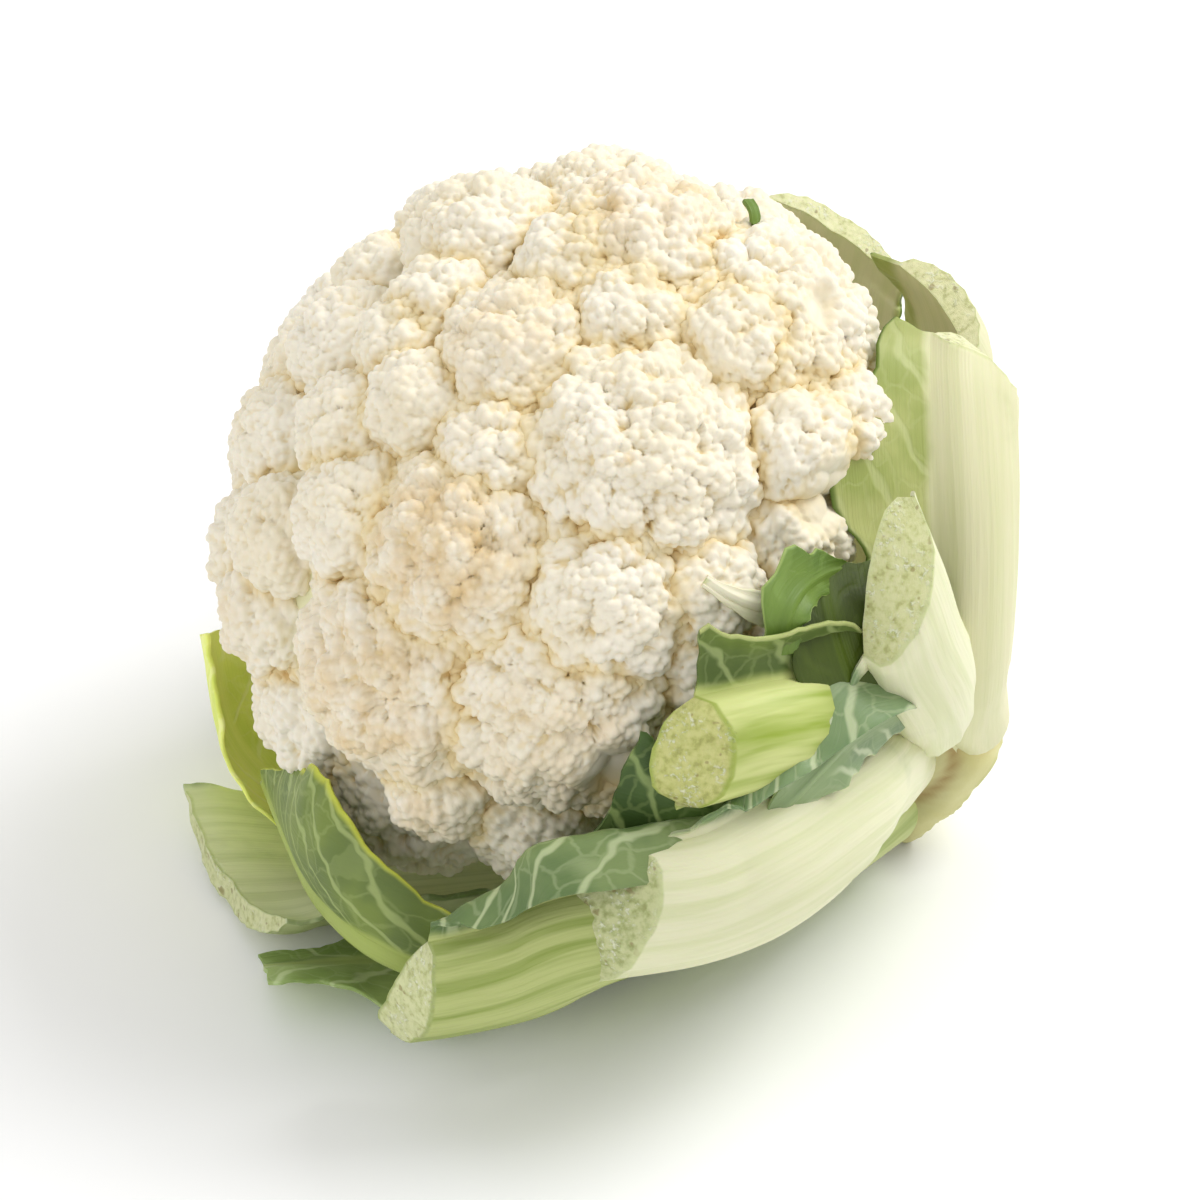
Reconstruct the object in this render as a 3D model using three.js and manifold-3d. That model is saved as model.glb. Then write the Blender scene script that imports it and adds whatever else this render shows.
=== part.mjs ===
// A cauliflower with trimmed leaves, lying tipped on its side on a table.
// Millimetres, +Z up. The origin is on the table, under the middle of the plant's box.
//
// The plant is drawn in its own frame: the axis runs from the cut stump (negative height)
// through the middle of the head, where the height is 0, to the crown. A place on it is
// [azimuth in degrees, distance from the axis, height]. Azimuth 0 is the side that faces
// the front and up, and the azimuth grows anticlockwise seen from above the crown.

import * as THREE from "three";
import { mergeVertices } from "three/addons/utils/BufferGeometryUtils.js";
import Module from "manifold-3d";

// How the plant lies
const CROWN_TILT = 50.75; // degrees between the crown's direction and straight up
const CROWN_HEADING = 188.25; // degrees from +X to the crown's direction, seen from above
const FRONT_RISE = 35; // azimuth 0 faces this many degrees above the front (-Y)
const HEAD_CENTRE = new THREE.Vector3(-7.9, 0, 84); // the middle of the head above the table

// The head
const HEAD_RADIUS = 78;
const CROWN_HEIGHT = 66;
const HEAD_SEMIAXES = new THREE.Vector3(HEAD_RADIUS, HEAD_RADIUS, CROWN_HEIGHT);
const UNDERSIDE_HEIGHT = 36; // how far the flesh under the widest ring bulges down
const CORE_SHARE = 0.84; // the smooth flesh between the florets, as a share of the head
const NECK_HEIGHT = -60; // where the head's flesh ends and the stump starts
const HEAD_DETAIL = 18; // the head has 20 * (detail + 1)^2 triangles
const DENSE_POLAR = 112; // degrees from the crown that get most of the triangles
const DENSE_SHARE = 128; // the same angle before the triangles are crowded together

// Florets: [azimuth, degrees from the crown, half width, how far it stands out]
const FLORETS = [
  [136, 9, 12, 1], [-25, 13, 11], [-135, 17, 11, 1], [39, 17, 9], [57, 23, 11], [133, 26, 9],
  [9, 24, 10], [-41, 27, 13], [-92, 27, 11], [85, 34, 15, 4], [33, 38, 17], [4, 42, 12, -3],
  [-103, 45, 12], [-20, 46, 22], [57, 48, 11, 1], [-53, 56, 25, 1], [43, 58, 12, -1], [62, 61, 20, 5],
  [17, 68, 26, 1], [-9, 77, 17], [42, 79, 11, 3], [-61, 83, 10, -1], [-31, 84, 24, 1],
  [52, 90, 23, 7], [1, 93, 10], [29, 97, 11, 4], [38, 104, 13, 5], [18, 108, 13], [-8, 104, 12],
  [122, 43, 15, 1], [165, 38, 17, 1], [-158, 44, 15, 1], [-128, 43, 13, 1], [180, 20, 12],
  [92, 62, 18], [124, 68, 19], [157, 66, 20], [-169, 68, 18], [-137, 70, 20],
  [-100, 70, 20, -1], [80, 93, 19], [108, 94, 19], [140, 95, 20], [173, 96, 20], [-154, 95, 19],
  [-122, 96, 19], [-88, 94, 19, 2], [-58, 104, 13], [-33, 110, 13], [64, 113, 13],
];
const LOBE_BASE = 3; // a floret's lobes have this radius plus a share of its half width
const LOBE_SHARE = 0.2;
const LOBE_SPREAD = 100; // degrees from the floret's middle that lobes reach
const FLORET_ROUND = 1.08; // a floret's radius of curvature over its half width
const GOLDEN_ANGLE = Math.PI * (3 - Math.sqrt(5));

// The stump: [distance from the axis, height], from the cut end to the neck
const STUMP_PROFILE = [[18.5, -112], [20, -108], [18.5, -102], [18, -94], [19, -84], [22, -72], [25, -61]];
const STUMP_SIDES = 20;

// Leaves. A leaf's rib is its fleshy stalk, and its two blades are the thin green edges.
// spine: places along the rib, from the stump to the cut end
// rib, thick: the rib's width and thickness, from the stump to the cut end
// plus, minus: the blades' widths along the same way, to the right and left of it seen
//   from outside with the cut end up
// cup: degrees that the rib bends round the head
// curl: degrees that the plus and the minus blade bend outwards
// fold: where across a blade its bend starts and ends
// roll: degrees that the leaf turns about its spine
// slant: how far the cut end runs on at its plus edge
// bevel: how far its inside runs on past its outside
// wave: the height of the blades' waves; teeth: how much their width changes by turns
const STALK_COLOUR = 0xcfe09b;
const BLADE_COLOUR = 0x7fa55a;
const YOUNG_COLOUR = 0xb6cf4a;
const LEAVES = {
  front: {
    spine: [
      [-24, 20, -93], [-17, 42, -77], [-15, 62, -63], [-18, 78, -54], [-26, 91, -42], [-33, 96, -32],
      [-42, 100, -16],
    ],
    rib: [14, 25, 33, 35, 34], thick: [10, 13, 12, 12],
    plus: [0, 0, 2, 10, 24, 34, 35, 28, 8, 3, 1], minus: [0, 0],
    cup: 80, curl: [150, 0], slant: -12, bevel: 18, fold: [0.35, 0.7], colour: STALK_COLOUR,
  },
  low: {
    spine: [
      [-50, 25, -97], [-42, 56, -70], [-40, 80, -47], [-43, 93, -29], [-47, 100, -19], [-53, 106, -11],
      [-58, 110, -4], [-61, 112, 0],
    ],
    rib: [15, 26, 30, 28], thick: [10, 12, 10, 9], plus: [0, 0, 4, 26, 30, 24, 4], minus: [0, 0],
    cup: 60, curl: [150, 0], slant: -9, bevel: 9, fold: [0.35, 0.7], wave: 2, colour: STALK_COLOUR,
  },
  inner_right: {
    spine: [
      [14, 23, -88], [5, 46, -78], [6, 62, -66], [7, 74, -55], [9, 84, -42], [12, 89, -32],
      [14, 90, -27],
    ],
    rib: [12, 18, 24, 22], thick: [8, 9, 10, 10], plus: [0, 0], minus: [0, 0, 2, 10, 16, 12],
    cup: 50, curl: [0, 30], roll: -10, slant: 12, bevel: 14, teeth: 0.1, colour: STALK_COLOUR,
  },
  right: {
    spine: [
      [20, 25, -100], [17, 46, -80], [22, 61, -67], [29, 72, -56], [37, 81, -46], [46, 87, -39],
      [51, 89.5, -37],
    ],
    rib: [15, 24, 26, 26], thick: [10, 13, 11, 9], plus: [0, 0], minus: [0, 2, 8, 18, 22, 8],
    cup: 80, curl: [0, 10], slant: -3, bevel: 8, colour: STALK_COLOUR,
  },
  inner_front: {
    spine: [[-14, 22, -80], [-12, 44, -62], [-9, 66, -46], [-8, 82, -32], [-12, 88, -20], [-18, 90, -9]],
    rib: [12, 18, 22, 23], thick: [8, 9, 11], plus: [0, 2, 12, 14], minus: [0, 0],
    cup: 60, curl: [80, 0], slant: -3, bevel: 13, wave: 1, colour: STALK_COLOUR,
  },
  under_front: {
    spine: [[-34, 23, -86], [-34, 56, -62], [-34, 80, -42], [-35, 88, -24], [-38, 88, -9]],
    rib: [12, 8, 4], thick: [6, 3, 1.2], plus: [0, 2, 12, 22, 24], minus: [0, 6, 24, 34, 28],
    cup: 20, curl: [0, 0], wave: 2, teeth: 0.1, colour: BLADE_COLOUR,
  },
  left_front: {
    spine: [
      [-70, 25, -99], [-70, 60, -70], [-69, 86, -42], [-69, 97, -18], [-72, 99, -3], [-84, 94, 4],
      [-98, 89, 7], [-112, 87, 11],
    ],
    rib: [13, 12, 7, 3], thick: [9, 6, 4, 2], plus: [0, 0, 2, 3, 4, 6, 11, 24, 30, 20, 4],
    minus: [0, 3, 3, 3, 1],
    cup: 20, curl: [-60, 0], wave: 2, teeth: 0.1, stations: 12, colour: BLADE_COLOUR,
  },
  left_flat: {
    spine: [[-92, 25, -98], [-97, 54, -66], [-103, 86, -26], [-105, 101, -4], [-105, 108, 8]],
    rib: [15, 30, 46, 58], thick: [10, 11, 8, 6], plus: [0, 2, 4, 2], minus: [0, 2, 4, 2],
    cup: 70, curl: [0, 0], slant: -6, wave: 0, teeth: 0, colour: STALK_COLOUR,
  },
  left_low: {
    spine: [[-81, 23, -88], [-85, 58, -65], [-88, 84, -39], [-90, 100, -17], [-93, 113, 2]],
    rib: [10, 8, 5, 3], thick: [7, 4, 2, 1.2], plus: [0, 6, 22, 26, 14], minus: [0, 6, 14, 14, 8],
    cup: 10, curl: [30, 10], wave: 3, teeth: 0.1, colour: BLADE_COLOUR,
  },
  left_bright: {
    spine: [
      [-126, 23, -86], [-122, 60, -62], [-119, 89, -36], [-121, 98, -9], [-127, 98, 12],
      [-137, 90, 27],
    ],
    rib: [12, 10, 6, 3], thick: [7, 4, 2, 1.2], plus: [0, 16, 24, 22, 10], minus: [0, 16, 22, 20, 8],
    cup: 30, curl: [-20, -20], wave: 2, teeth: 0.1, colour: YOUNG_COLOUR,
  },
  back_low: {
    spine: [[-150, 25, -98], [-151, 62, -68], [-152, 88, -43], [-152, 102, -20], [-152, 107, 2]],
    rib: [15, 26, 30, 28], thick: [10, 11, 9, 7], plus: [0, 10, 16, 8], minus: [0, 10, 16, 8],
    cup: 50, curl: [20, 20], slant: 4, wave: 2, colour: STALK_COLOUR,
  },
  back: {
    spine: [[172, 25, -100], [168, 60, -72], [165, 86, -46], [164, 98, -20], [163, 98, 4]],
    rib: [15, 24, 28, 26], thick: [10, 11, 9, 7], plus: [0, 10, 16, 6], minus: [0, 10, 16, 6],
    cup: 60, curl: [20, 20], slant: -4, wave: 2, colour: STALK_COLOUR,
  },
  back_high: {
    spine: [[128, 25, -99], [125, 56, -75], [119, 77, -55], [112, 87, -43], [107, 90, -37]],
    rib: [15, 26, 34, 34], thick: [10, 10, 7, 5], plus: [0, 2, 4, 2], minus: [0, 2, 4, 2],
    cup: 60, curl: [20, 20], slant: 4, wave: 2, colour: STALK_COLOUR,
  },
  back_side: {
    spine: [[78, 25, -98], [80, 52, -77], [80, 68, -63], [79, 78, -53], [76, 83, -43]],
    rib: [15, 22, 28, 28], thick: [10, 10, 8, 6], plus: [0, 2, 4, 3], minus: [0, 6, 12, 8],
    cup: 60, curl: [30, 20], slant: 3, wave: 2, colour: STALK_COLOUR,
  },
};
const LEAF_STATIONS = 9;
const LEAF_FOCUS = new THREE.Vector3(0, 0, -20); // a leaf's outside faces away from here
const RIB_COLUMNS = [0.4, 0.75, 1]; // places across half of a rib where its faces meet
const BLADE_COLUMNS = [0.35, 0.7, 1];
const FOLDED_COLUMNS = [0.35, 0.52, 0.7, 1]; // the same on a blade that is folded over
const RIB_OUTSIDE = 0.65; // how much of a rib's thickness is on its outside
const BLADE_THICKNESS = 1.2;
const BLADE_LEAST = 0.8; // the blades' width where they are cut away
const FOLD_WIDTH = 12; // a blade as wide as this bends all the way, and a narrower one less
const BLADE_NARROW = 5; // up to this width a blade is made of single faces
const WAVE_TURNS = 2.5;

// Colours
const CURD_COLOUR = 0xf1e4c4;
const STUMP_COLOUR = 0xdfe6bd;

// Clear room between pieces that press against each other
const NODE_GAP = 0.35;
const ROOM_LAYERS = [0, 0.3, 0.65, 1]; // shares of the gap by which a leaf's room is built up
const ENVELOPE_GAP = 1;
const ENVELOPE_RINGS = 16;
const ENVELOPE_SIDES = 24;

function unit(azimuth) {
  return new THREE.Vector3(Math.cos(azimuth), Math.sin(azimuth), 0);
}

function place([azimuth, distance, height]) {
  return unit(THREE.MathUtils.degToRad(azimuth)).multiplyScalar(distance).setZ(height);
}

// The plant's frame in the table's: x is azimuth 0, y is azimuth 90 and z is the crown.
function plantFrame() {
  const tilt = THREE.MathUtils.degToRad(CROWN_TILT);
  const heading = THREE.MathUtils.degToRad(CROWN_HEADING);
  const rise = THREE.MathUtils.degToRad(FRONT_RISE);
  const crown = unit(heading).multiplyScalar(Math.sin(tilt)).setZ(Math.cos(tilt));
  const front = new THREE.Vector3(0, -Math.cos(rise), Math.sin(rise));
  const side = front.addScaledVector(crown, -front.dot(crown)).normalize();
  const back = new THREE.Vector3().crossVectors(crown, side);
  return new THREE.Matrix4().makeBasis(side, back, crown).setPosition(HEAD_CENTRE);
}

// A fixed number from 0 to 1 for each pair of whole numbers, for small irregularities.
function scatter(a, b) {
  const wild = Math.sin(a * 127.1 + b * 311.7) * 43758.5453;
  return wild - Math.floor(wild);
}

// The florets' lobes, as spheres {centre, radius}.
function lobes() {
  const found = [];
  FLORETS.forEach(([azimuth, polar, halfWidth, lift = 0], index) => {
    const around = THREE.MathUtils.degToRad(azimuth);
    const down = THREE.MathUtils.degToRad(polar);
    const top = unit(around).multiplyScalar(Math.sin(down)).setZ(Math.cos(down)).multiply(HEAD_SEMIAXES);
    const outward = top.clone().divide(HEAD_SEMIAXES).divide(HEAD_SEMIAXES).normalize();
    top.addScaledVector(outward, lift);
    const radius = FLORET_ROUND * halfWidth;
    const middle = top.clone().addScaledVector(outward, -radius);
    const turn = new THREE.Quaternion().setFromUnitVectors(new THREE.Vector3(0, 0, 1), outward);
    const lobe = LOBE_BASE + LOBE_SHARE * halfWidth;
    const spread = THREE.MathUtils.degToRad(LOBE_SPREAD);
    const area = 2 * Math.PI * radius ** 2 * (1 - Math.cos(spread));
    const count = Math.max(5, Math.round(area / (2.3 * lobe ** 2)));
    for (let k = 0; k < count; k++) {
      const lean = Math.acos(1 - ((k + 0.5) / count) * (1 - Math.cos(spread)));
      const angle = k * GOLDEN_ANGLE + index;
      const size = lobe * (0.88 + 0.24 * scatter(index, k));
      const away = unit(angle).multiplyScalar(Math.sin(lean)).setZ(Math.cos(lean)).applyQuaternion(turn);
      found.push({ centre: middle.clone().addScaledVector(away, radius - 0.9 * size), radius: size });
    }
  });
  return found;
}

// How far a ray from the origin reaches through a sphere, or 0.
function reach(direction, { centre, radius }) {
  const along = centre.dot(direction);
  const inside = radius ** 2 - centre.lengthSq() + along ** 2;
  return inside > 0 ? along + Math.sqrt(inside) : 0;
}

// The smooth flesh under the florets, down to the neck.
function coreReach(direction) {
  const rise = CORE_SHARE * (direction.z > 0 ? CROWN_HEIGHT : UNDERSIDE_HEIGHT);
  const wide = CORE_SHARE * HEAD_RADIUS;
  const level = direction.x ** 2 + direction.y ** 2;
  return 1 / Math.sqrt(level / wide ** 2 + direction.z ** 2 / rise ** 2);
}

const wasm = await Module();
wasm.setup();

function toSolid(geometry) {
  const bare = new THREE.BufferGeometry().setAttribute("position", geometry.getAttribute("position"));
  bare.setIndex(geometry.index);
  const merged = mergeVertices(bare, 1e-4);
  return new wasm.Manifold(
    new wasm.Mesh({
      numProp: 3,
      vertProperties: merged.attributes.position.array,
      triVerts: new Uint32Array(merged.index.array),
    }),
  );
}

function toGeometry(solid) {
  const { vertProperties, triVerts } = solid.getMesh();
  const geometry = new THREE.BufferGeometry();
  geometry.setAttribute("position", new THREE.BufferAttribute(vertProperties, 3));
  geometry.setIndex(new THREE.BufferAttribute(triVerts, 1));
  geometry.computeVertexNormals();
  return geometry;
}

// The head: one body whose florets and lobes stand out of its core.
function curdSolid() {
  const geometry = new THREE.IcosahedronGeometry(1, HEAD_DETAIL);
  const position = geometry.getAttribute("position");
  const spheres = lobes();
  const neck = [[30, -22], [26, -36], [24, -50]].map(([radius, height]) => ({
    centre: new THREE.Vector3(0, 0, height),
    radius,
  }));
  const direction = new THREE.Vector3();
  for (let i = 0; i < position.count; i++) {
    direction.fromBufferAttribute(position, i).normalize();
    const polar = THREE.MathUtils.radToDeg(Math.acos(direction.z));
    const crowded =
      polar < DENSE_SHARE
        ? (polar * DENSE_POLAR) / DENSE_SHARE
        : DENSE_POLAR + ((polar - DENSE_SHARE) * (180 - DENSE_POLAR)) / (180 - DENSE_SHARE);
    const down = THREE.MathUtils.degToRad(crowded);
    direction.setZ(0).normalize().multiplyScalar(Math.sin(down)).setZ(Math.cos(down));
    let far = coreReach(direction);
    for (const sphere of spheres) far = Math.max(far, reach(direction, sphere));
    for (const sphere of neck) far = Math.max(far, reach(direction, sphere));
    position.setXYZ(i, direction.x * far, direction.y * far, direction.z * far);
  }
  return toSolid(geometry).trimByPlane([0, 0, 1], NECK_HEIGHT);
}

// The stump, slightly flared where it was cut.
function stumpSolid(grow = 0) {
  const outline = STUMP_PROFILE.map(([x, y]) => new THREE.Vector2(x + grow, y));
  outline[0].y -= grow;
  outline.unshift(new THREE.Vector2(0, outline[0].y));
  outline.push(new THREE.Vector2(0, outline[outline.length - 1].y));
  const geometry = new THREE.LatheGeometry(outline, STUMP_SIDES).rotateX(Math.PI / 2);
  return toSolid(geometry);
}

// The head's outside in coarse faces, a little larger than its florets, which keeps leaves clear.
function curdEnvelope(curd) {
  const { vertProperties } = curd.getMesh();
  const far = Array.from({ length: ENVELOPE_RINGS + 1 }, () => new Array(ENVELOPE_SIDES).fill(0));
  const widen = (ring, sector, distance) => {
    const around = (sector + ENVELOPE_SIDES) % ENVELOPE_SIDES;
    far[ring][around] = Math.max(far[ring][around], distance);
  };
  for (let i = 0; i < vertProperties.length; i += 3) {
    const point = new THREE.Vector3(...vertProperties.slice(i, i + 3));
    const distance = point.length();
    const ring = (Math.acos(point.z / distance) / Math.PI) * ENVELOPE_RINGS;
    const sector = (Math.atan2(point.y, point.x) / (2 * Math.PI)) * ENVELOPE_SIDES;
    for (const nearRing of [Math.floor(ring), Math.ceil(ring)]) {
      widen(nearRing, Math.floor(sector), distance);
      widen(nearRing, Math.floor(sector) + 1, distance);
    }
  }
  const points = [new THREE.Vector3(0, 0, Math.max(...far[0]) + ENVELOPE_GAP)];
  for (let ring = 1; ring < ENVELOPE_RINGS; ring++) {
    const down = (ring / ENVELOPE_RINGS) * Math.PI;
    for (let sector = 0; sector < ENVELOPE_SIDES; sector++) {
      const direction = unit((sector / ENVELOPE_SIDES) * 2 * Math.PI).multiplyScalar(Math.sin(down));
      points.push(direction.setZ(Math.cos(down)).multiplyScalar(far[ring][sector] + ENVELOPE_GAP));
    }
  }
  points.push(new THREE.Vector3(0, 0, -Math.max(...far[ENVELOPE_RINGS]) - ENVELOPE_GAP));
  const last = points.length - 1;
  const at = (ring, sector) => 1 + (ring - 1) * ENVELOPE_SIDES + (sector % ENVELOPE_SIDES);
  const index = [];
  for (let sector = 0; sector < ENVELOPE_SIDES; sector++) {
    index.push(0, at(1, sector), at(1, sector + 1));
    for (let ring = 1; ring < ENVELOPE_RINGS - 1; ring++) {
      index.push(at(ring, sector), at(ring + 1, sector), at(ring + 1, sector + 1));
      index.push(at(ring, sector), at(ring + 1, sector + 1), at(ring, sector + 1));
    }
    index.push(last, at(ENVELOPE_RINGS - 1, sector + 1), at(ENVELOPE_RINGS - 1, sector));
  }
  return toSolid(new THREE.BufferGeometry().setFromPoints(points).setIndex(index));
}

// A value part of the way along a list of evenly spaced ones.
function along(values, share) {
  const at = share * (values.length - 1);
  const first = Math.min(Math.floor(at), values.length - 2);
  return THREE.MathUtils.lerp(values[first], values[first + 1], at - first);
}

// Blades that stay narrow have one column of faces.
function columnsOf(widths, folded) {
  const columns = folded ? FOLDED_COLUMNS : BLADE_COLUMNS;
  return Math.max(...widths) > BLADE_NARROW ? columns : [1];
}

// Half of a leaf's section, from the middle of its rib out to one edge: points {across, out}
// on the section's middle line, the direction that it has there and half of its thickness.
function halfSection(side, rib, thick, blade, bladeColumns, cup, curl, fold, grow) {
  const half = rib / 2;
  const turn = curl * Math.min(1, blade / FOLD_WIDTH);
  const columns = [...RIB_COLUMNS.map((x) => x * half), ...bladeColumns.map((x) => half + x * blade)];
  const points = [];
  let across = 0;
  let out = 0;
  let before = 0;
  const steps = 6;
  for (const distance of columns) {
    let bend = 0;
    for (let k = 1; k <= steps; k++) {
      const d = before + ((distance - before) * k) / steps;
      const onBlade = Math.max(0, d - half) / blade;
      const folded = THREE.MathUtils.clamp((onBlade - fold[0]) / (fold[1] - fold[0]), 0, 1);
      bend = THREE.MathUtils.degToRad(turn * folded - (cup / 2) * Math.min(1, d / half));
      across += (Math.cos(bend) * (distance - before)) / steps;
      out += (Math.sin(bend) * (distance - before)) / steps;
    }
    before = distance;
    const share = Math.min(1, distance / half);
    const swelling = (1 - share ** 2) ** 0.6;
    const swell = (thick - BLADE_THICKNESS) * swelling;
    const edge = (Math.max(0, distance - half) / blade) * Math.min(1, blade / FOLD_WIDTH);
    points.push({ across: side * across, out, bend, swell, swelling, edge, side });
  }
  const tip = points[points.length - 1];
  tip.across += side * grow * Math.cos(tip.bend);
  tip.out += grow * Math.sin(tip.bend);
  return points;
}

// One leaf: a thick rib between two thin blades, drawn section by section along its spine.
function leafSolid(leaf, grow = 0) {
  const curve = new THREE.CatmullRomCurve3(leaf.spine.map(place), false, "centripetal");
  const { cup, curl, roll = 0, slant = 0, bevel = 0, fold = [0, 1], wave = 1.5, teeth = 0.08 } = leaf;
  const stations = leaf.stations ?? LEAF_STATIONS;
  const points = [];
  let columns = 0;
  for (let i = 0; i <= stations; i++) {
    const share = i / stations;
    const tangent = curve.getTangentAt(share);
    const centre = curve.getPointAt(share);
    const outward = centre.clone().sub(LEAF_FOCUS);
    outward.addScaledVector(tangent, -outward.dot(tangent)).normalize();
    outward.applyAxisAngle(tangent, THREE.MathUtils.degToRad(roll * share));
    const sideways = new THREE.Vector3().crossVectors(tangent, outward);
    const rib = along(leaf.rib, share);
    const thick = along(leaf.thick, share);
    const tooth = 1 + teeth * (i % 2 ? 1 : -1);
    const plus = Math.max(BLADE_LEAST, along(leaf.plus, share) * tooth);
    const minus = Math.max(BLADE_LEAST, along(leaf.minus, share) * tooth);
    const [plusColumns, minusColumns] = [leaf.plus, leaf.minus].map((x) => columnsOf(x, fold[0] > 0));
    const right = halfSection(1, rib, thick, plus, plusColumns, cup, curl[0], fold, grow);
    const left = halfSection(-1, rib, thick, minus, minusColumns, cup, curl[1], fold, grow);
    const middle = { across: 0, out: 0, bend: 0, swell: thick - BLADE_THICKNESS, swelling: 1, edge: 0, side: 1 };
    const section = [...left.reverse(), middle, ...right];
    columns = section.length;
    const ends = i === 0 ? -grow : i === stations ? grow * (1 + (1.5 * bevel) / thick) : 0;
    const outer = [];
    const inner = [];
    section.forEach(({ across, out, bend, swell, swelling, edge, side }) => {
      const lift = wave * edge * Math.sin(WAVE_TURNS * share * 2 * Math.PI + 2 * side);
      const runOn = slant * THREE.MathUtils.clamp((2 * across) / rib, -1.6, 1.6) * share ** 3;
      const through = tangent.clone().multiplyScalar((bevel / 2) * swelling * share ** 3);
      const face = outward.clone().multiplyScalar(Math.cos(bend));
      face.addScaledVector(sideways, -side * Math.sin(bend));
      const middlePoint = centre.clone().addScaledVector(sideways, across).addScaledVector(outward, out);
      middlePoint.addScaledVector(tangent, ends + runOn).addScaledVector(face, lift);
      const half = BLADE_THICKNESS / 2 + grow;
      outer.push(middlePoint.clone().addScaledVector(face, half + swell * RIB_OUTSIDE).sub(through));
      inner.push(middlePoint.clone().addScaledVector(face, -half - swell * (1 - RIB_OUTSIDE)).add(through));
    });
    points.push(...outer, ...inner);
  }
  const at = (i, j, face) => i * 2 * columns + face * columns + j;
  const index = [];
  const quad = (a, b, c, d) => index.push(a, b, c, a, c, d);
  for (let i = 0; i < stations; i++) {
    for (let j = 0; j < columns - 1; j++) {
      quad(at(i, j, 0), at(i, j + 1, 0), at(i + 1, j + 1, 0), at(i + 1, j, 0));
      index.push(at(i, j, 1), at(i + 1, j + 1, 1), at(i, j + 1, 1));
      index.push(at(i, j, 1), at(i + 1, j, 1), at(i + 1, j + 1, 1));
    }
    quad(at(i, 0, 1), at(i, 0, 0), at(i + 1, 0, 0), at(i + 1, 0, 1));
    const last = columns - 1;
    quad(at(i, last, 0), at(i, last, 1), at(i + 1, last, 1), at(i + 1, last, 0));
  }
  for (let j = 0; j < columns - 1; j++) {
    quad(at(0, j, 1), at(0, j + 1, 1), at(0, j + 1, 0), at(0, j, 0));
    quad(at(stations, j, 0), at(stations, j + 1, 0), at(stations, j + 1, 1), at(stations, j, 1));
  }
  const geometry = new THREE.BufferGeometry().setFromPoints(points).setIndex(index);
  return toSolid(geometry);
}

// The room that a leaf takes up, which the leaves inside it keep out of.
function leafRoom(leaf) {
  return ROOM_LAYERS.map((share) => leafSolid(leaf, share * NODE_GAP)).reduce((a, b) => a.add(b));
}

// The largest of a solid's separate bodies.
function largest(solid) {
  return solid.decompose().reduce((best, next) => (next.volume() > best.volume() ? next : best));
}

const plant = new THREE.Group();
const frame = plantFrame();
frame.decompose(plant.position, plant.quaternion, plant.scale);

// The table, seen from the plant: what is under it is cut away, which leaves flat spots.
const tableUp = new THREE.Vector3(0, 0, 1).applyQuaternion(plant.quaternion.clone().invert());
const onTable = (solid) => solid.trimByPlane(tableUp.toArray(), -HEAD_CENTRE.z);

function addPiece(name, solid, colour, roughness) {
  const material = new THREE.MeshStandardMaterial({ color: colour, roughness, metalness: 0 });
  const piece = new THREE.Mesh(toGeometry(solid), material);
  piece.name = name;
  plant.add(piece);
}

const curd = curdSolid();
const envelope = curdEnvelope(curd);
const stumpRoom = stumpSolid(NODE_GAP);
addPiece("curd", onTable(curd), CURD_COLOUR, 0.7);
addPiece("stump", onTable(stumpSolid()), STUMP_COLOUR, 0.5);

// Each leaf gives way to the curd, the stump and the leaves that lie outside it.
const outerLeaves = [];
for (const [name, leaf] of Object.entries(LEAVES)) {
  let solid = leafSolid(leaf).subtract(envelope).subtract(stumpRoom);
  for (const outer of outerLeaves) solid = solid.subtract(outer);
  addPiece(`leaf_${name}`, largest(onTable(solid)), leaf.colour, 0.5);
  outerLeaves.push(leafRoom(leaf));
}

const cauliflower = new THREE.Group();
cauliflower.add(plant);
export default cauliflower;
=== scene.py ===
import math

import bpy
import numpy as np
from mathutils import Matrix, Vector


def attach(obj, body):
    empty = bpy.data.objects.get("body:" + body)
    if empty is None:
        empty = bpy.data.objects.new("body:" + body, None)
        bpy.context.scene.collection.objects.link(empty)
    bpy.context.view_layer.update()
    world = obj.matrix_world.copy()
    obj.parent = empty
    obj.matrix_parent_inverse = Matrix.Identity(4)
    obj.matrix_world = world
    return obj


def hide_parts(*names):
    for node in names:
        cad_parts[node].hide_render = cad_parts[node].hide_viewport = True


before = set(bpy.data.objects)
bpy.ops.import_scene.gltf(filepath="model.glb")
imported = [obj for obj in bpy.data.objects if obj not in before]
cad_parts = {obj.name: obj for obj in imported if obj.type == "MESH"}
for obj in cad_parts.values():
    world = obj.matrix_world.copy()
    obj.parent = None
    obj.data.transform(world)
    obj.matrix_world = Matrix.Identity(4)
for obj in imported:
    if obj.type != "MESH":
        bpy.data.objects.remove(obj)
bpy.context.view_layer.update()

MM = 0.001

# The photographed view. The plant lies with its crown to the upper left and a little away,
# and the camera looks down on it from the front.
HEAD_CENTRE = Vector((-7.9, 0, 84)) * MM  # the middle of the head above the table
CAMERA_FALL = math.radians(35)  # how steeply the camera looks down
CAMERA_AWAY = 900 * MM
CAMERA_LENS = 129.6
CAMERA_NEAR = 50 * MM  # nothing closer than this is drawn
CAMERA_ASIDE = Vector((8.96, -17.7)) * MM  # right and up from the line through the head
toward = Vector((0, -math.cos(CAMERA_FALL), math.sin(CAMERA_FALL)))
lift = Vector((0, math.sin(CAMERA_FALL), math.cos(CAMERA_FALL)))
camera_data = bpy.data.cameras.new("camera")
camera_data.lens = CAMERA_LENS
camera_data.clip_start = CAMERA_NEAR
camera = bpy.data.objects.new("camera", camera_data)
camera.location = HEAD_CENTRE + toward * CAMERA_AWAY + lift * CAMERA_ASIDE.y
camera.location.x += CAMERA_ASIDE.x
camera.rotation_euler = (math.pi / 2 - CAMERA_FALL, 0, 0)
bpy.context.scene.collection.objects.link(camera)
bpy.context.scene.camera = camera

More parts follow.
